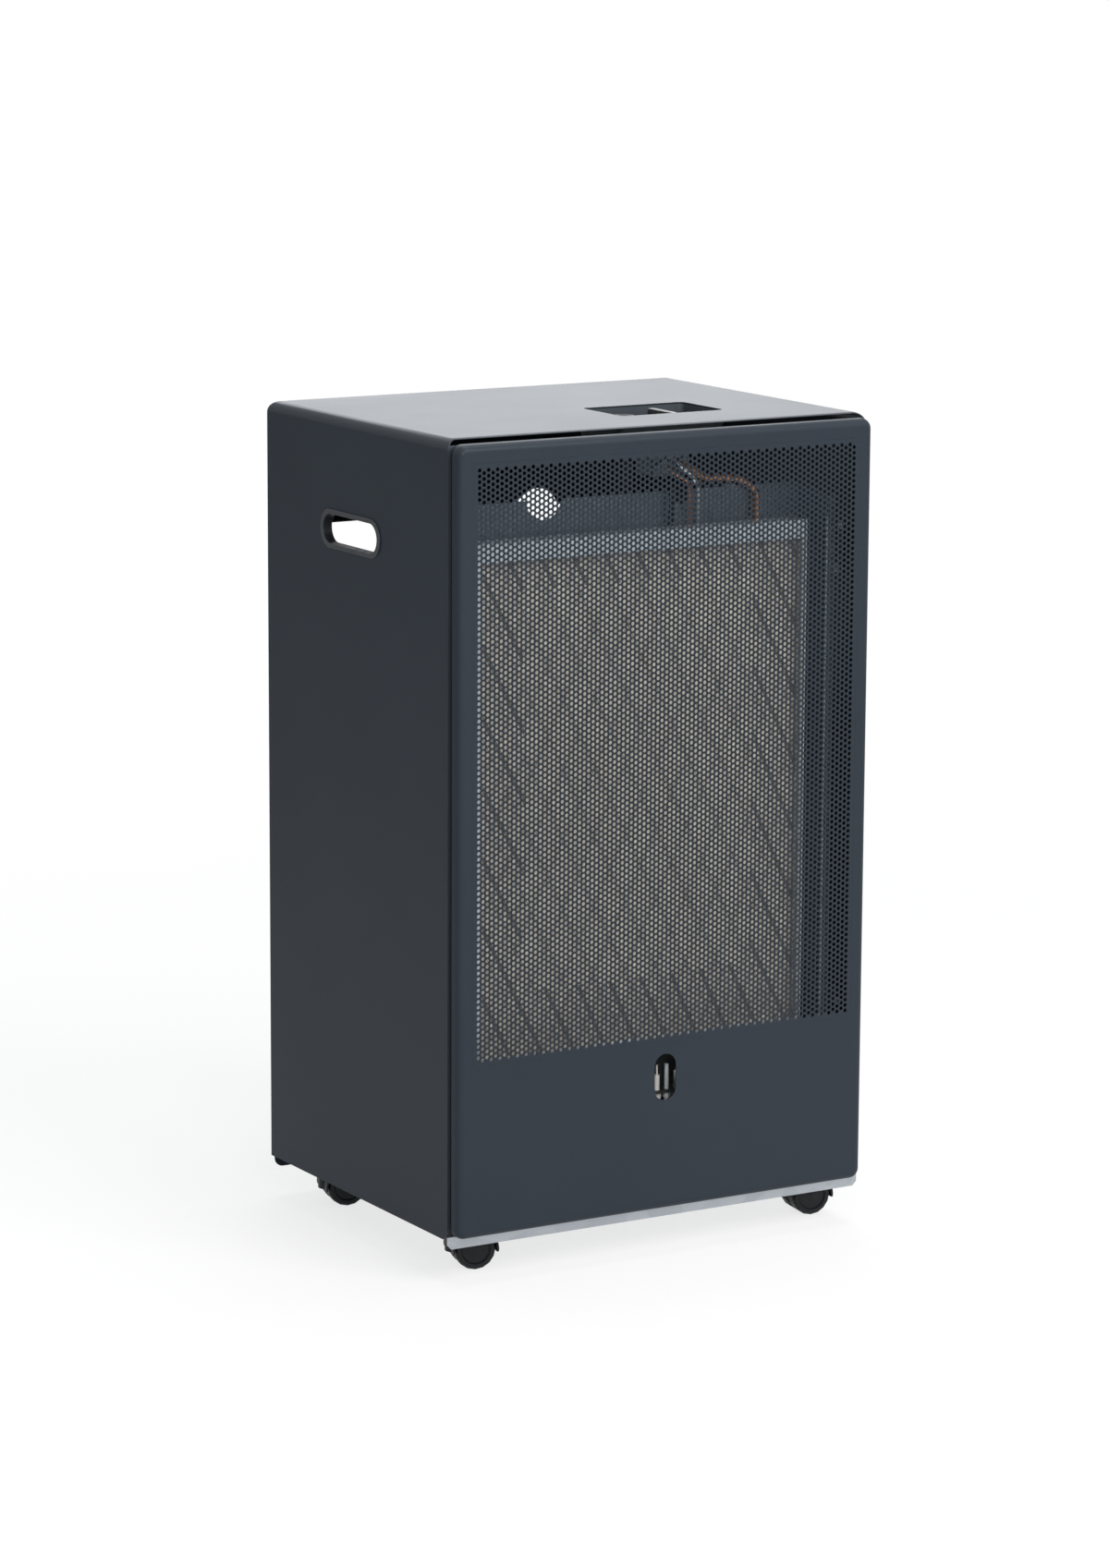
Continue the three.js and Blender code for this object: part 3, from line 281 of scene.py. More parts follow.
looks = {
    "slatePaint": {"dark": (0.023, 0.029, 0.038), "light": (0.027, 0.034, 0.044), "rough": (0.38, 0.44),
                   "grain": 3, "fine": 500, "bump": 0.012, "specular": 0.07, "coat": 0.06, "coatRough": 0.2,
                   "sheenTint": (0.86, 0.94, 1.0)},
    "zinc": {"dark": (0.36, 0.39, 0.42), "light": (0.40, 0.43, 0.46), "rough": (0.34, 0.42), "grain": 60,
             "spangle": True, "bump": 0.03, "metal": 0.9},
    "burnerSteel": {"dark": (0.68, 0.76, 0.82), "light": (0.78, 0.86, 0.92), "rough": (0.34, 0.46),
                    "grain": 40, "bump": 0.05, "metal": 0.35},
    "heatSteel": {"dark": (0.16, 0.20, 0.24), "light": (0.23, 0.28, 0.33), "rough": (0.36, 0.5),
                  "grain": 14, "bump": 0.05, "metal": 0.7},
    "guardSteel": {"dark": (0.42, 0.40, 0.36), "light": (0.54, 0.52, 0.48), "rough": (0.45, 0.6),
                   "grain": 60, "bump": 0.1, "metal": 0.3},
    # near-black steel, used for the pilot bracket
    "nearBlackSteel": {"dark": (0.018, 0.019, 0.021), "light": (0.036, 0.038, 0.041), "rough": (0.5, 0.7),
                  "grain": 50, "bump": 0.1, "metal": 0.2},
    # pale zinc screw heads, mostly non-metal so that they stay bright in the shade: partly painted glint
    "zincAndGlint": {"dark": (0.80, 0.82, 0.84), "light": (0.90, 0.91, 0.92), "rough": (0.2, 0.3),
                   "grain": 200, "bump": 0.05, "metal": 0.3},
    "blackPlastic": {"dark": (0.006, 0.007, 0.009), "light": (0.011, 0.012, 0.014), "rough": (0.36, 0.5),
                     "grain": 30, "fine": 2600, "bump": 0.12, "specular": 0.25},
    "gripPlastic": {"dark": (0.010, 0.012, 0.015), "light": (0.015, 0.018, 0.021), "rough": (0.34, 0.46),
                    "grain": 30, "fine": 2600, "bump": 0.15},
    "greyPlastic": {"dark": (0.040, 0.050, 0.060), "light": (0.052, 0.064, 0.076), "rough": (0.3, 0.42),
                    "grain": 30, "fine": 2600, "bump": 0.2},
    "printWhite": {"dark": (0.62, 0.63, 0.63), "light": (0.72, 0.73, 0.73), "rough": (0.4, 0.5),
                   "grain": 90, "bump": 0.05},
    "brass": {"dark": (0.50, 0.36, 0.15), "light": (0.64, 0.48, 0.22), "rough": (0.22, 0.36), "grain": 40,
              "bump": 0.05, "metal": 1},
    "copper": {"dark": (0.46, 0.22, 0.12), "light": (0.62, 0.33, 0.19), "rough": (0.24, 0.4), "grain": 60,
               "bump": 0.05, "metal": 1},
    "aluminium": {"dark": (0.66, 0.67, 0.68), "light": (0.76, 0.77, 0.78), "rough": (0.26, 0.4),
                  "grain": 90, "bump": 0.12, "metal": 1},
    "chrome": {"dark": (0.70, 0.71, 0.72), "light": (0.78, 0.79, 0.80), "rough": (0.12, 0.22), "grain": 20,
               "bump": 0.02, "metal": 1},
    "ceramic": {"dark": (0.80, 0.80, 0.78), "light": (0.88, 0.88, 0.86), "rough": (0.25, 0.4), "grain": 30,
                "bump": 0.05},
    "wool": {"dark": (0.55, 0.52, 0.47), "light": (0.68, 0.66, 0.61), "rough": (0.9, 1),
             "grain": 220, "bump": 0.8},
}
finishes = {name: makeMaterial(name, look) for name, look in looks.items()}


def calc(tree, kind, a, b=0.0):
    # one math node; a and b are sockets or numbers
    node = tree.nodes.new("ShaderNodeMath")
    node.operation = kind
    for socket, value in zip(node.inputs, (a, b)):
        if isinstance(value, (int, float)):
            socket.default_value = value
        else:
            tree.links.new(value, socket)
    return node.outputs[0]


# painted shadows of the netting; places in m: the border starts past flatX, below lowZ and above highZ
netShadowLayout = {"cellWidth": 0.032, "cellHeight": 0.062, "flatX": 0.118, "lowZ": 0.245, "highZ": 0.6,
            "falling": 0.75, "rising": 0.35, "width": 0.43}


def paintedNetShadows(tree, p):
    # painted shadow: dark lines that the netting casts on the pad's sloping border, where its wires stand off
    # the pad
    spot = tree.nodes.new("ShaderNodeTexCoord")
    axes = tree.nodes.new("ShaderNodeSeparateXYZ")
    tree.links.new(spot.outputs["Object"], axes.inputs[0])
    x, z = axes.outputs["X"], axes.outputs["Z"]
    across, up = calc(tree, "DIVIDE", x, p["cellWidth"]), calc(tree, "DIVIDE", z, p["cellHeight"])
    shadowLines = []
    for kind, depth in (("ADD", p["falling"]), ("SUBTRACT", p["rising"])):
        phase = calc(tree, "FRACT", calc(tree, kind, across, up))
        off = calc(tree, "ABSOLUTE", calc(tree, "SUBTRACT", phase, 0.5))
        line = calc(tree, "GREATER_THAN", off, p["width"])
        shadowLines.append(calc(tree, "MULTIPLY", line, depth))
    border = calc(tree, "GREATER_THAN", calc(tree, "ABSOLUTE", x), p["flatX"])
    for kind, level in (("LESS_THAN", p["lowZ"]), ("GREATER_THAN", p["highZ"])):
        border = calc(tree, "MAXIMUM", border, calc(tree, kind, z, level))
    return calc(tree, "MULTIPLY", calc(tree, "MAXIMUM", *shadowLines), border)


# the felt's look; its darkest colour is that of the painted net shadows
feltLook = {"fibres": 260, "fibreDetail": 8, "fibreStretch": (1, 1, 0.35), "patches": 12, "patchDetail": 3,
            "pressed": (0.06, 0.055, 0.05), "rough": 0.95, "bump": 0.7, "bumpDepth": 0.0012}


def catalystMaterial(p):
    # felted pad, cream-grey, with long fibres and the painted shadows of the netting
    material, tree, shader = nodeTree("catalyst")
    link = tree.links.new
    fibres = noise(tree, p["fibres"], p["fibreDetail"], p["fibreStretch"])
    patches = noise(tree, p["patches"], p["patchDetail"])
    base = ramp(tree, fibres, 0.3, 0.72, (0.74, 0.68, 0.59), (0.95, 0.90, 0.81))
    tint = ramp(tree, patches, 0.3, 0.7, (0.90, 0.88, 0.86), (1.0, 0.99, 0.97))
    mix = tree.nodes.new("ShaderNodeMix")
    mix.data_type = "RGBA"
    mix.blend_type = "MULTIPLY"
    mix.inputs["Factor"].default_value = 1
    link(base, mix.inputs[6])
    link(tint, mix.inputs[7])
    # painted shadow of the netting laid over the felt
    pressed = tree.nodes.new("ShaderNodeMix")
    pressed.data_type = "RGBA"
    pressed.inputs[7].default_value = (*p["pressed"], 1)
    link(paintedNetShadows(tree, netShadowLayout), pressed.inputs["Factor"])
    link(mix.outputs[2], pressed.inputs[6])
    link(pressed.outputs[2], shader.inputs["Base Color"])
    shader.inputs["Roughness"].default_value = p["rough"]
    bump(tree, shader, fibres, p["bump"], p["bumpDepth"])
    return material


finishes["catalyst"] = catalystMaterial(feltLook)

slotFinish = {
    "slate_paint": "slatePaint", "galvanised": "zinc", "dark_steel": "heatSteel",
    "black_plastic": "blackPlastic", "grey_plastic": "greyPlastic", "brass": "brass", "copper": "copper",
    "aluminium": "aluminium", "chrome": "chrome", "ceramic": "ceramic", "catalyst": "catalyst",
    "wool": "wool",
}
ownFinish = {"burner_frame": "burnerSteel", "burner_tray": "burnerSteel", "pilot_bracket": "nearBlackSteel",
             "thermocouple_probe": "burnerSteel", "pilot_burner": "chrome", "gas_valve_body": "heatSteel"}
for entry in frame["record"]["subparts"]:
    node = nodes[entry["node"]]
    node.data.materials.clear()
    node.data.materials.append(finishes[ownFinish.get(entry["node"], slotFinish[entry["material_slot"]])])
print("finishes done")


def dress(obj, finish, body="cabinet"):
    obj.data.materials.clear()
    obj.data.materials.append(finishes[finish])
    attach(obj, body)
    return obj


# casing: one folded sheet
casing = {"halfWidth": 212.5, "depth": 330, "height": 700, "sheet": 1.2, "bend": 10, "bendSteps": 8,
          "frontFold": 12, "rearFold": 15, "foldCorner": 2, "foot": 8, "foldFoot": 11.5, "foldReach": 2,
          "trimFrom": -9, "clear": 0.05, "gripY": 173, "gripZ": 599, "gripLength": 101.6, "gripHeight": 30.6,
          "gripThrough": 500, "wellLeft": 5.5, "wellRight": 111.5, "wellFront": 75, "wellRear": 145,
          "wellCorner": 6, "hookLevels": (266, 32), "hookHalf": 1.2, "hookIn": 3, "hookOut": 2,
          "hookBelow": 8.3, "hookAbove": 12.3}


def roundedTop(name, half, front, rear, top, radius):
    block = addBox(name, place(-half, front, -bleed), place(half, rear, top))
    high = place(0, 0, top).z
    roundEdges(block, lambda a, b: min(a.z, b.z) > high - 0.1 * mm and abs(a.x - b.x) < mm,
               radius * mm, casing["bendSteps"])
    return block


def makeCasing(c):
    half, sheet, depth, top = c["halfWidth"], c["sheet"], c["depth"], c["height"]
    shell = roundedTop("casing_shell", half, 0, depth, top, c["bend"])
    below = addBox("cutBelow", place(-half - bleed, -bleed, c["trimFrom"]),
                   place(half + bleed, depth + bleed, 0))
    cutWith(shell, [below])
    inner = roundedTop("cutInner", half - sheet, sheet, depth - sheet, top - sheet, c["bend"] - sheet)
    front = roundedTop("cutFront", half - c["frontFold"], -bleed, bleed,
                       top - c["frontFold"], c["foldCorner"])
    rear = roundedTop("cutRear", half - c["rearFold"], depth - bleed, depth + bleed,
                      top - c["rearFold"], c["foldCorner"])
    cutWith(shell, [inner, front, rear])
    return shell


def casingCutters(c):
    half, depth, top, fold = c["halfWidth"], c["depth"], c["height"], c["foldReach"]
    inner = half - c["sheet"] - c["clear"]
    grips = obround("cutGrip", place(0, c["gripY"], c["gripZ"]),
                    c["gripLength"] * mm, c["gripHeight"] * mm, 0, c["gripThrough"] * mm)
    cutters = [
        grips,
        addBox("cutFoldFront", place(-inner, -fold, -fold), place(inner, fold, c["foldFoot"])),
        addBox("cutFoldRear", place(-inner, depth - fold, -fold), place(inner, depth + fold, c["foldFoot"])),
    ]
    well = addBox("cutWell", place(c["wellLeft"], c["wellFront"], top - 2 * bleed),
                  place(c["wellRight"], c["wellRear"], top + 2 * bleed))
    roundEdges(well, lambda a, b: abs(a.z - b.z) > mm, c["wellCorner"] * mm, 6)
    cutters.append(well)
    reach = c["foot"] / math.sqrt(2)
    foot = addBox("cutFoot", place(-half - bleed, -reach, -reach), place(half + bleed, reach, reach))
    activate(foot)
    bpy.ops.object.mode_set(mode="EDIT")
    bpy.ops.mesh.select_all(action="SELECT")
    bpy.ops.transform.rotate(value=math.radians(45), orient_axis="X", center_override=place(0, 0, 0))
    leaveEdit()
    cutters.append(foot)
    hookX = half - c["sheet"] - c["rearFold"] / 2
    for x in (-hookX, hookX):
        for z in c["hookLevels"]:
            low = place(x - c["hookHalf"], depth - c["hookIn"], z - c["hookBelow"])
            high = place(x + c["hookHalf"], depth + c["hookOut"], z + c["hookAbove"])
            cutters.append(addBox("cutHook", low, high))
    return cutters


casingShell = makeCasing(casing)
cutWith(casingShell, casingCutters(casing))
softenEdges(casingShell, 0.3 * mm, 2, 50)
smooth(casingShell)
dress(casingShell, "slatePaint")
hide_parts("casing_wrap")
print("casing done", len(casingShell.data.polygons))

# front panel: deep-drawn pan with a punched field
panel = {"halfWidth": 210.5, "bottom": 3, "top": 696, "face": -15, "back": -3, "corner": 9, "edge": 7,
         "steps": 6, "sheet": 1, "rows": 103, "columns": 88, "strips": 4, "pitch": 5, "hole": 3.6,
         "holeSides": 12, "sideShare": 0.28, "fieldWidth": 384, "fieldLow": 160, "fieldHigh": 676,
         "margin": 4, "slotZ": 124, "slotWidth": 22, "slotHeight": 42, "slotDepth": 12}


def panelWindow(p):
    grow = p["margin"]
    low = place(-p["fieldWidth"] / 2 - grow, p["face"], p["fieldLow"] - grow)
    high = place(p["fieldWidth"] / 2 + grow, p["face"], p["fieldHigh"] + grow)
    return low, high


def makePan(p):
    half = p["halfWidth"]
    pan = addBox("front_pan", place(-half, p["face"], p["bottom"]), place(half, p["back"], p["top"]))
    roundEdges(pan, lambda a, b: abs(a.y - b.y) > mm, p["corner"] * mm, p["steps"])
    front = place(0, p["face"], 0).y
    roundEdges(pan, lambda a, b: max(a.y, b.y) < front + 0.1 * mm, p["edge"] * mm, p["steps"])
    editFaces(pan, lambda centre, normal: normal.y > 0.9)
    bpy.ops.mesh.delete(type="FACE")
    leaveEdit()
    thicken(pan, p["sheet"] * mm)
    low, high = panelWindow(p)
    window = addBox("cutWindow", low - Vector((0, bleed * mm, 0)), high + Vector((0, bleed * mm, 0)))
    slot = obround("cutSight", place(0, p["face"], p["slotZ"]),
                   p["slotWidth"] * mm, p["slotHeight"] * mm, 1, p["slotDepth"] * mm)
    cutWith(pan, [window, slot])
    softenEdges(pan, 0.2 * mm, 2, 50)
    smooth(pan)
    return pan


def makeCell(p):
    # one hexagon of sheet with a round hole, flat in x and z at the origin
    bpy.ops.mesh.primitive_circle_add(vertices=p["holeSides"], radius=p["hole"] / 2 * mm,
                                      rotation=(math.pi / 2, 0, 0))
    cell = bpy.context.object
    applyAll(cell)
    reach = p["pitch"] / math.sqrt(3) * mm
    editEdges(cell, lambda a, b: True)
    bpy.ops.mesh.extrude_edges_move()
    grow = reach / (p["hole"] / 2 * mm)
    bpy.ops.transform.resize(value=(grow, 1, grow), center_override=(0, 0, 0))
    leaveEdit()
    # every second outer point is the middle of a side and moves in onto its straight line
    clearPicks(cell)
    for point in cell.data.vertices:
        turn = math.degrees(math.atan2(point.co.z, point.co.x)) % 60
        point.select = point.co.length > reach * 0.9 and abs(turn - 30) < 5
    bpy.ops.object.mode_set(mode="EDIT")
    bpy.ops.mesh.select_mode(type="VERT")
    flat = math.cos(math.pi / 6)
    bpy.ops.transform.resize(value=(flat, 1, flat), center_override=(0, 0, 0))
    leaveEdit()
    return cell


def repeat(obj, count, offset):
    array = obj.modifiers.new("repeat", "ARRAY")
    array.count = count
    array.use_relative_offset = False
    array.use_constant_offset = True
    array.constant_offset_displace = offset
    array.use_merge_vertices = True
    array.merge_threshold = 0.00002
    applyModifier(obj, array)


def pushEdge(obj, test, axis, level):
    # carries one side of the punched sheet out to a straight line
    clearPicks(obj)
    for point in obj.data.vertices:
        point.select = test(point.co)
    bpy.ops.object.mode_set(mode="EDIT")
    bpy.ops.mesh.select_mode(type="VERT")
    bpy.ops.mesh.select_mode(type="EDGE")
    bpy.ops.mesh.extrude_edges_move()
    value = [1, 1, 1]
    value[axis] = 0
    centre = [0, 0, 0]
    centre[axis] = level
    bpy.ops.transform.resize(value=value, center_override=centre)
    leaveEdit()


def makeField(p):
    # the punched field in four upright strips, so that each stays a light mesh
    step = p["pitch"] * math.sqrt(3) / 2 * mm
    rise = p["pitch"] / 2 * mm
    perStrip = p["columns"] // p["strips"]
    low, high = panelWindow(p)
    middle = (low + high) / 2
    base = makeCell(p)
    repeat(base, 2, (step, 0, -rise))
    repeat(base, p["rows"], (0, 0, 2 * rise))
    repeat(base, perStrip // 2, (2 * step, 0, 0))
    stretch = (p["fieldWidth"] - p["hole"]) * mm / ((p["columns"] - 1) * step)
    topLine = (p["rows"] - 1) * rise + rise / 2
    firstColumn = -(p["columns"] - 1) * step / 2
    sideLine = -firstColumn + p["sideShare"] * p["pitch"] * mm
    apart = p["pitch"] / 2 * mm * 0.9  # nearer to a hole's middle than this, a point is on its rim

    def offHole(co):
        column = round((co.x - firstColumn) / step)
        best = 1
        for near in (column - 1, column, column + 1):
            if not 0 <= near < p["columns"]:
                continue
            offset = rise / 2 if near % 2 == 0 else -rise / 2
            row = round((co.z - offset) / (2 * rise) + (p["rows"] - 1) / 2)
            row = min(max(row, 0), p["rows"] - 1)
            centreZ = (row - (p["rows"] - 1) / 2) * 2 * rise + offset
            best = min(best, math.hypot(co.x - firstColumn - near * step, co.z - centreZ))
        return best > apart

    def past(co, way):
        # the last row's rim, and at the corner where it stands out only its flat end
        start = topLine + rise if co.x * way < -sideLine else topLine
        return way * co.z > start - 0.01 * mm and offHole(co)

    strips = []
    for number in range(p["strips"]):
        activate(base)
        bpy.ops.object.duplicate()
        strip = bpy.context.object
        strip.name = "front_field_" + "abcd"[number]
        strip.location = (number * perStrip * step - (p["columns"] - 1) * step / 2, 0,
                          -(p["rows"] - 1) * rise + rise / 2)
        applyAll(strip)
        if number == 0:
            pushEdge(strip, lambda co: co.x < -sideLine and offHole(co), 0, (low.x - middle.x) / stretch)
        if number == p["strips"] - 1:
            pushEdge(strip, lambda co: co.x > sideLine and offHole(co), 0, (high.x - middle.x) / stretch)
        pushEdge(strip, lambda co: past(co, 1), 2, high.z - middle.z)
        pushEdge(strip, lambda co: past(co, -1), 2, low.z - middle.z)
        strip.scale = (stretch, 1, 1)
        strip.location = middle
        applyAll(strip)
        clearDoubles(strip, 0.02 * mm)
        # all faces look forward, so that the sheet gets its thickness behind them
        editFaces(strip, lambda centre, normal: normal.y > 0)
        bpy.ops.mesh.flip_normals()
        leaveEdit()
        thicken(strip, p["sheet"] * mm, even=False)
        strips.append(strip)
    activate(base)
    bpy.ops.object.delete()
    return strips


frontPan = dress(makePan(panel), "slatePaint")
fieldStrips = makeField(panel)
for strip in fieldStrips:
    dress(strip, "slatePaint")
for piece in [frontPan, *fieldStrips]:
    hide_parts("front_panel")
print("front done", [len(strip.data.polygons) for strip in fieldStrips])

# round pieces are drawn up ring by ring from a disc
def turnedPiece(name, centre, rings, sides=32):
    radius, level = rings[0]
    start = centre + Vector((0, 0, level * mm))
    bpy.ops.mesh.primitive_circle_add(vertices=sides, radius=radius * mm, location=start, fill_type="NGON")
    piece = bpy.context.object
    piece.name = name
    applyAll(piece)
    bpy.ops.object.mode_set(mode="EDIT")
    bpy.ops.mesh.select_mode(type="FACE")
    bpy.ops.mesh.select_all(action="SELECT")
    for nextRadius, nextLevel in rings[1:]:
        bpy.ops.mesh.extrude_region_move(TRANSFORM_OT_translate={"value": (0, 0, (nextLevel - level) * mm)})
        size = nextRadius / radius
        bpy.ops.transform.resize(value=(size, size, 1), center_override=centre)
        radius, level = nextRadius, nextLevel
    bpy.ops.mesh.select_all(action="SELECT")
    bpy.ops.mesh.normals_make_consistent(inside=False)
    leaveEdit()
    return piece


def copyTo(piece, name, spot, turn=(0, 0, 0)):
    activate(piece)
    bpy.ops.object.duplicate()
    twin = bpy.context.object
    twin.name = name
    twin.location = spot
    twin.rotation_euler = [math.radians(angle) for angle in turn]
    applyAll(twin)
    return twin


# felted pad: crowned between its edges
pad = {"halfWidth": 165.7, "low": 137.3, "high": 600.7, "back": 42, "seat": 36.5, "crown": 6, "ramp": 46,
       "rim": 2, "firstRise": 0.7, "secondRise": 0.3, "flat": 40, "levels": 6, "felt": 0.7, "feltSize": 0.006}


def makePad(p):
    half = p["halfWidth"]
    felt = addBox("pad_felt", place(-half, p["seat"], p["low"]), place(half, p["back"], p["high"]))
    editFaces(felt, lambda centre, normal: normal.y < -0.9)
    bpy.ops.mesh.inset(thickness=p["rim"] * mm, depth=0)
    for rise in (p["firstRise"], p["secondRise"]):
        bpy.ops.mesh.inset(thickness=p["ramp"] / 2 * mm, depth=p["crown"] * rise * mm)
    bpy.ops.mesh.inset(thickness=p["flat"] * mm, depth=0)
    leaveEdit()
    seat = place(0, p["seat"], 0).y
    editEdges(felt, lambda a, b: min(a.y, b.y) > seat - 0.01 * mm)
    bpy.ops.transform.edge_crease(value=1)
    leaveEdit()
    rounder = felt.modifiers.new("rounder", "SUBSURF")
    rounder.levels = p["levels"]
    rounder.render_levels = p["levels"]
    applyModifier(felt, rounder)
    cloud = bpy.data.textures.new("felt", "CLOUDS")
    cloud.noise_scale = p["feltSize"]
    fuzz = felt.modifiers.new("fuzz", "DISPLACE")
    fuzz.texture = cloud
    fuzz.texture_coords = "LOCAL"
    fuzz.mid_level = 1
    fuzz.strength = p["felt"] * mm
    applyModifier(felt, fuzz)
    smooth(felt, 60)
    return felt


padFelt = dress(makePad(pad), "catalyst")
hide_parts("catalytic_pad")

# guard: diamond netting of thin wire in a flat rim
guard = {"front": 27.6, "back": 29.3, "wire": 1.2, "cellWidth": 32, "cellHeight": 62, "rim": 3.5,
         "count": 20, "inside": 1}


def makeNet(p):
    side = p["cellWidth"] / math.sqrt(2) * mm
    middle = place(0, (p["front"] + p["back"]) / 2, (pad["low"] + pad["high"]) / 2)
    bpy.ops.mesh.primitive_grid_add(x_subdivisions=p["count"], y_subdivisions=p["count"],
                                    size=p["count"] * side, location=middle,
                                    rotation=(math.pi / 2, math.radians(45), 0))
    net = bpy.context.object
    net.name = "guard_net"
    applyAll(net)
    bpy.ops.object.mode_set(mode="EDIT")
    bpy.ops.mesh.select_all(action="SELECT")
    bpy.ops.transform.resize(value=(1, 1, p["cellHeight"] / p["cellWidth"]), center_override=middle)
    half = (pad["halfWidth"] - p["inside"]) * mm
    tall = (pad["high"] - pad["low"] - 2 * p["inside"]) / 2 * mm
    for direction, reach in (((1, 0, 0), half), ((-1, 0, 0), half), ((0, 0, 1), tall), ((0, 0, -1), tall)):
        bpy.ops.mesh.select_all(action="SELECT")
        bpy.ops.mesh.bisect(plane_co=middle + Vector(direction) * reach, plane_no=direction, clear_outer=True)
    leaveEdit()
    wires = net.modifiers.new("wires", "WIREFRAME")
    wires.thickness = p["wire"] * mm
    wires.use_even_offset = True
    applyModifier(net, wires)
    smooth(net, 40)
    return net


def makeGuardRim(p):
    low = place(-pad["halfWidth"], p["front"], pad["low"])
    high = place(pad["halfWidth"], p["back"], pad["high"])
    rim = addBox("guard_rim", low, high)
    inward = Vector((p["rim"] * mm, -bleed * mm, p["rim"] * mm))
    cutWith(rim, [addBox("cutRim", low + inward, high - inward)])
    softenEdges(rim, 0.5 * mm, 3)
    smooth(rim)
    return rim


for piece in (makeNet(guard), makeGuardRim(guard)):
    dress(piece, "guardSteel")
    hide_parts("wire_guard")

# rolled hem on the housing's front edges, dressed in bright burner steel: a painted highlight where the edge
# catches light
hem = {"x": 185.2, "y": 18.9, "width": 1.8, "depth": 1.4, "low": 128, "high": 606}


def makeHem(name, side, p):
    middle = place(side * p["x"], p["y"], (p["low"] + p["high"]) / 2)
    reach = Vector((p["width"], p["depth"], p["high"] - p["low"])) * mm / 2
    roll = addBox(name, middle - reach, middle + reach)
    roundEdges(roll, lambda a, b: abs(a.z - b.z) > mm, p["depth"] * 0.48 * mm, 5)
    clearDoubles(roll, 0.01 * mm)
    smooth(roll)
    return roll


for label, side in (("left", -1), ("right", 1)):
    # the hem is real; its bright finish is painted highlight
    dress(makeHem(label + "_housing_hem_highlight", side, hem), "burnerSteel")
print("burner done", len(padFelt.data.polygons))

# hand grips: moulded ring round the slot in each side
grip = {"y": casing["gripY"], "z": casing["gripZ"], "length": 98, "height": 26.2, "flangeLength": 109.5,
        "flangeHeight": 34.5, "proud": 1.15, "collarLength": 101, "collarHeight": 29.6, "collar": 8,
        "through": 60}


def makeGrip(name, side, p):
    wall = casing["halfWidth"]
    outer = place(side * (wall + p["proud"] / 2), p["y"], p["z"])
    ring = obround(name, outer, p["flangeLength"] * mm, p["flangeHeight"] * mm, 0, p["proud"] * mm)
    depth = p["collar"] + p["proud"] / 2
    inner = place(side * (wall + p["proud"] / 2 - depth / 2), p["y"], p["z"])
    collar = obround("collar", inner, p["collarLength"] * mm, p["collarHeight"] * mm, 0, depth * mm)
    union = ring.modifiers.new("with collar", "BOOLEAN")
    union.operation = "UNION"
    union.solver = "EXACT"
    union.object = collar
    applyModifier(ring, union)
    activate(collar)
    bpy.ops.object.delete()
    cutWith(ring, [obround("cutGripRing", inner, p["length"] * mm, p["height"] * mm, 0, p["through"] * mm)])
    softenEdges(ring, 0.5 * mm, 3, 50)
    smooth(ring)
    return ring


for label, side in (("left", -1), ("right", 1)):
    gripRing = dress(makeGrip(label + "_grip_ring", side, grip), "gripPlastic")
    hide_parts(label + "_grip_insert")
print("grips done")

# control knob, igniter button and the marks round them
# the dial's profile as pairs: mm in from its radius, mm up from its bottom
knob = {"x": 67.5, "y": 108, "bottom": 686, "radius": 26.9, "barHalf": 4.4, "barReach": 21.8, "barLow": 6,
        "barHigh": 12.4, "hollowX": 30.5, "hollowZ": 9.5, "hollowRadius": 27, "hollowDepth": 6,
        "bore": 3.35, "boreDepth": 11, "sides": 60,
        "profile": ((1.2, 0), (0.3, 0.3), (0, 1), (0, 2.2), (0.5, 2.8), (1.2, 3), (4.2, 3.1), (4.8, 3.7),
                    (5.2, 5.6), (5.9, 6.3), (7, 6.5)),
        "middle": (3, 6.6)}


def makeKnob(p):
    bottom = p["bottom"]
    centre = place(p["x"], p["y"], 0)
    rings = [(p["radius"] - inward, bottom + up) for inward, up in p["profile"]]
    rings.append((p["middle"][0], bottom + p["middle"][1]))
    dial = turnedPiece("knob_dial", centre, rings, p["sides"])
    bore = addRod("cutBore", place(p["x"], p["y"], bottom), p["bore"] * mm, p["boreDepth"] * mm, 32)
    cutWith(dial, [bore])
    smooth(dial, 30)
    return dial


def makeKnobBar(p):
    low = place(p["x"] - p["barHalf"], p["y"] - p["barReach"], p["bottom"] + p["barLow"])
    high = place(p["x"] + p["barHalf"], p["y"] + p["barReach"], p["bottom"] + p["barHigh"])
    bar = addBox("knob_bar", low, high)
    roundEdges(bar, lambda a, b: abs(a.z - b.z) > mm, 3.6 * mm, 6)
    editFaces(bar, lambda centre, normal: normal.z > 0.9)
    bpy.ops.transform.resize(value=(0.78, 0.95, 1), center_override=place(p["x"], p["y"], 0))
    leaveEdit()
    for side in (-1, 1):
        centre = place(p["x"] + side * p["hollowX"], p["y"], p["bottom"] + p["hollowZ"])
        cutWith(bar, [addRod("cutHollow", centre, p["hollowRadius"] * mm, p["hollowDepth"] * mm, 64)])
    softenEdges(bar, 0.6 * mm, 3, 35)
    smooth(bar)
    return bar


def makePointer(p):
    middle = place(p["x"], p["y"] - p["barReach"] + 4.6, p["bottom"] + p["barHigh"])
    low, high = middle - Vector((0.6, 3.2, 0.25)) * mm, middle + Vector((0.6, 3.2, 0.08)) * mm
    pointer = addBox("knob_pointer", low, high)
    roundEdges(pointer, lambda a, b: abs(a.z - b.z) > 0.1 * mm, 0.5 * mm, 4)
    smooth(pointer)
    return pointer


knobPieces = ((makeKnob(knob), "blackPlastic"), (makeKnobBar(knob), "blackPlastic"),
              (makePointer(knob), "printWhite"))
for piece, finish in knobPieces:
    dress(piece, finish, "knob")
    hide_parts("control_knob")

igniter = {"x": 24, "y": 103, "radius": 10.4, "stem": 6.4, "stemLow": 671, "skirt": 687.3, "top": 696.9}


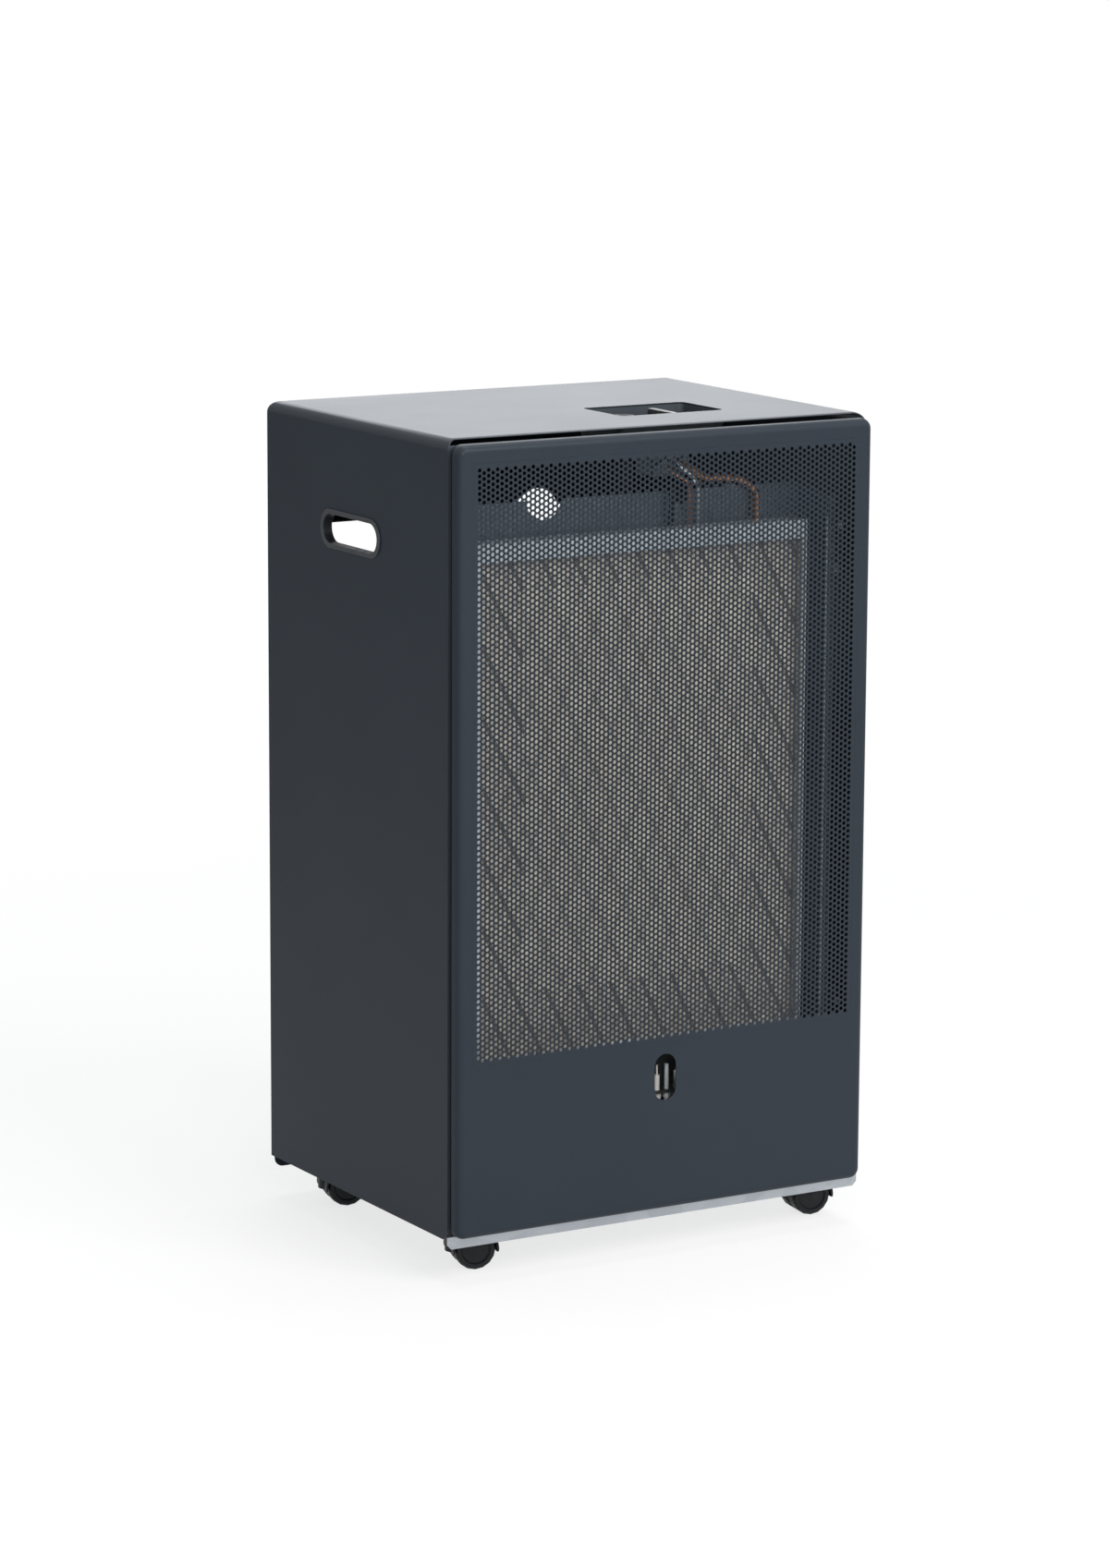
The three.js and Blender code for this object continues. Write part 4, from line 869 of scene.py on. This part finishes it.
def makeIgniterCap(p):
    r, top, skirt = p["radius"], p["top"], p["skirt"]
    rings = [(p["stem"], p["stemLow"]), (p["stem"], skirt), (r - 0.8, skirt + 0.05), (r, skirt + 0.8),
             (r, top - 1.6), (r - 0.4, top - 0.6), (r - 1.3, top), (r - 2.1, top - 0.1), (r - 4, top - 0.9),
             (r - 7, top - 1.4), (1.2, top - 1.5)]
    cap = turnedPiece("igniter_cap", place(p["x"], p["y"], 0), rings, 40)
    smooth(cap, 40)
    return cap


igniterBody = dress(makeIgniterCap(igniter), "blackPlastic", "igniter_button")
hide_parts("piezo_button")

# raised scale on the recess floor: a dot for each setting, growing with the heat
scale = {"floor": 676, "reach": 32, "dots": ((-28, 1.0), (8, 1.4), (44, 1.8), (80, 2.2))}
for number, (turn, size) in enumerate(scale["dots"]):
    angle = math.radians(turn)
    spot = place(knob["x"] + scale["reach"] * math.cos(angle),
                 knob["y"] + scale["reach"] * math.sin(angle), 0)
    level = scale["floor"]
    rings = [(size, level - 0.2), (size, level + 0.25), (size * 0.8, level + 0.4)]
    dot = turnedPiece("scale_dot_" + str(number), spot, rings, 20)
    smooth(dot)
    dress(dot, "printWhite")
print("controls done")

# pan-head screws with a cross recess, modelled once; their bright finish is pale zinc and partly painted
# glint
screw = {"radius": 3.6, "rise": 2.2, "slot": 0.9, "reach": 2.3,
         "sidePlaces": ((36, 594), (39.5, 557), (26.5, 160)),  # y and z on the side walls' inner faces
         "rearX": 204, "rearLevels": (684, 606), "topX": 110, "topZ": 692}


def makeScrew(p):
    r, rise = p["radius"], p["rise"]
    rings = [(r, -0.8), (r, 0.5), (r * 0.93, rise * 0.62), (r * 0.76, rise * 0.86), (r * 0.45, rise),
             (r * 0.1, rise * 1.04)]
    head = turnedPiece("screw_master", Vector((0, 0, 0)), rings, 20)
    long, thin = p["reach"], p["slot"] / 2
    for x, y in ((long, thin), (thin, long)):
        cutWith(head, [addBox("cutCross", Vector((-x, -y, rise - 0.9)) * mm, Vector((x, y, rise + 1)) * mm)])
    smooth(head, 40)
    return head


screwMaster = makeScrew(screw)
wallInside = casing["halfWidth"] - casing["sheet"]
screwPlaces = []
for side, label in ((-1, "left"), (1, "right")):
    for number, (y, z) in enumerate(screw["sidePlaces"]):
        name = "panel_screw_" + label + "_" + str(number)
        screwPlaces.append((name, (side * wallInside, y, z), (0, -side * 90, 0)))
    for number, z in enumerate(screw["rearLevels"]):
        name = "rear_screw_" + label + "_" + str(number)
        screwPlaces.append((name, (side * screw["rearX"], casing["depth"], z), (-90, 0, 0)))
    spot = (side * screw["topX"], casing["depth"], screw["topZ"])
    screwPlaces.append(("rear_screw_top_" + label, spot, (-90, 0, 0)))
for name, spot, turn in screwPlaces:
    dress(copyTo(screwMaster, name, place(*spot), turn), "zincAndGlint")
activate(screwMaster)
bpy.ops.object.delete()
print("screws done", len(screwPlaces))

# floor, light and camera
# distances in m from the object's middle; a share of 1 is the plain white of the backdrop
studio = {"floorSize": 40, "floorGrey": 0.9, "shadowShare": 0.75, "shadowFrom": 0.5, "shadowTo": 1.8,
          "glossNear": 0.5, "glossFar": 0.02, "glossFrom": 0.3, "glossTo": 1.3,
          "zenith": 0.22, "horizon": 0.3, "skyLow": 0.1, "skyHigh": 0.9, "skyTint": (0.76, 0.89, 1.0)}
bpy.ops.mesh.primitive_plane_add(size=studio["floorSize"], location=(0, 0, 0))
floor = bpy.context.object
floor.name = "studio_floor"
floorMaterial, floorTree, floorShader = nodeTree("studioFloor")
floorShader.inputs["Base Color"].default_value = (*[studio["floorGrey"]] * 3, 1)
floorShader.inputs["Roughness"].default_value = 0.9
floorShader.inputs["Specular IOR Level"].default_value = 0.1


def wideRay(tree):
    # camera, glossy and transmission rays, which see the white backdrop
    rays = tree.nodes.new("ShaderNodeLightPath")
    total = rays.outputs["Is Camera Ray"]
    for kind in ("Is Glossy Ray", "Is Transmission Ray"):
        total = calc(tree, "MAXIMUM", total, rays.outputs[kind])
    return total


def fade(tree, near, far, nearValue, farValue):
    # one value beside the object, where the shadow lies, to another further out
    spot = tree.nodes.new("ShaderNodeTexCoord")
    length = tree.nodes.new("ShaderNodeVectorMath")
    length.operation = "LENGTH"
    away = tree.nodes.new("ShaderNodeMapRange")
    away.inputs["From Min"].default_value = near
    away.inputs["From Max"].default_value = far
    away.inputs["To Min"].default_value = nearValue
    away.inputs["To Max"].default_value = farValue
    tree.links.new(spot.outputs["Object"], length.inputs[0])
    tree.links.new(length.outputs["Value"], away.inputs["Value"])
    return away.outputs["Result"]


lift = floorTree.nodes.new("ShaderNodeEmission")
lift.inputs["Strength"].default_value = 1
seen = floorTree.nodes.new("ShaderNodeLightPath")
blend = floorTree.nodes.new("ShaderNodeMixShader")
output = next(n for n in floorTree.nodes if n.type == "OUTPUT_MATERIAL")
shadowFade = fade(floorTree, studio["shadowFrom"], studio["shadowTo"], studio["shadowShare"], 1)
# painted light: in reflections the floor glows near the object, like a lit floor, and fades further out
glossFade = fade(floorTree, studio["glossFrom"], studio["glossTo"], studio["glossNear"], studio["glossFar"])
share = calc(floorTree, "MULTIPLY", seen.outputs["Is Camera Ray"], shadowFade)
gloss = calc(floorTree, "MULTIPLY", wideRay(floorTree), glossFade)
floorTree.links.new(calc(floorTree, "MAXIMUM", share, gloss), blend.inputs[0])
floorTree.links.new(floorShader.outputs[0], blend.inputs[1])
floorTree.links.new(lift.outputs[0], blend.inputs[2])
floorTree.links.new(blend.outputs[0], output.inputs["Surface"])
floor.data.materials.append(floorMaterial)

world = bpy.data.worlds.new("studio")
bpy.context.scene.world = world
world.use_nodes = True
tree = world.node_tree
tree.nodes.clear()
sky = tree.nodes.new("ShaderNodeBackground")
sky.inputs["Color"].default_value = (*studio["skyTint"], 1)
direction = tree.nodes.new("ShaderNodeTexCoord")
axes = tree.nodes.new("ShaderNodeSeparateXYZ")
rise = tree.nodes.new("ShaderNodeMapRange")
rise.inputs["From Min"].default_value = studio["skyLow"]
rise.inputs["From Max"].default_value = studio["skyHigh"]
rise.inputs["To Min"].default_value = studio["horizon"]
rise.inputs["To Max"].default_value = studio["zenith"]
tree.links.new(direction.outputs["Generated"], axes.inputs[0])
tree.links.new(axes.outputs["Z"], rise.inputs["Value"])
tree.links.new(rise.outputs["Result"], sky.inputs["Strength"])
white = tree.nodes.new("ShaderNodeBackground")
white.inputs["Color"].default_value = (1, 1, 1, 1)
white.inputs["Strength"].default_value = 1
both = tree.nodes.new("ShaderNodeMixShader")
worldOut = tree.nodes.new("ShaderNodeOutputWorld")
tree.links.new(wideRay(tree), both.inputs[0])
tree.links.new(sky.outputs[0], both.inputs[1])
tree.links.new(white.outputs[0], both.inputs[2])
tree.links.new(both.outputs[0], worldOut.inputs["Surface"])

lamps = {
    "key": {"at": (0.9, -3.2, 3.1), "to": (0, 0, 0.4), "size": 2.2, "watts": 130, "tint": (1, 0.98, 0.96)},
    "over": {"at": (0.2, 0.1, 3.0), "to": (0, 0, 0), "size": 1.6, "watts": 44, "tint": (1, 0.98, 0.96)},
    "eye": {"at": (-1.8, -4.4, 2.3), "to": (0, 0, 0.4), "size": 1.5, "watts": 92, "tint": (1, 0.95, 0.9)},
    "back": {"at": (1.4, 3.0, 1.8), "to": (0, 0, 0.4), "size": 2.0, "watts": 30, "tint": (0.94, 0.97, 1)},
}
for name, lamp in lamps.items():
    bpy.ops.object.light_add(type="AREA", location=lamp["at"])
    light = bpy.context.object
    light.name = name
    light.data.size = lamp["size"]
    light.data.energy = lamp["watts"]
    light.data.color = lamp["tint"]
    light.rotation_euler = (Vector(lamp["to"]) - Vector(lamp["at"])).to_track_quat("-Z", "Y").to_euler()

camera = {"at": (-2.2668, -3.7907, 1.2493), "yaw": 30.757, "pitch": 10.913, "roll": 0.293,
          "lens": 114.284, "sensor": 36, "near": 0.05, "far": 60}
aim = Euler((math.radians(90 - camera["pitch"]), 0, math.radians(-camera["yaw"]))).to_matrix()
aim = aim @ Matrix.Rotation(math.radians(camera["roll"]), 3, "Z")
bpy.ops.object.camera_add(location=camera["at"], rotation=aim.to_euler())
eye = bpy.context.object
eye.data.lens = camera["lens"]
eye.data.sensor_width = camera["sensor"]
eye.data.clip_start = camera["near"]
eye.data.clip_end = camera["far"]
bpy.context.scene.camera = eye
bpy.context.scene.view_settings.view_transform = "Standard"
print("studio done")
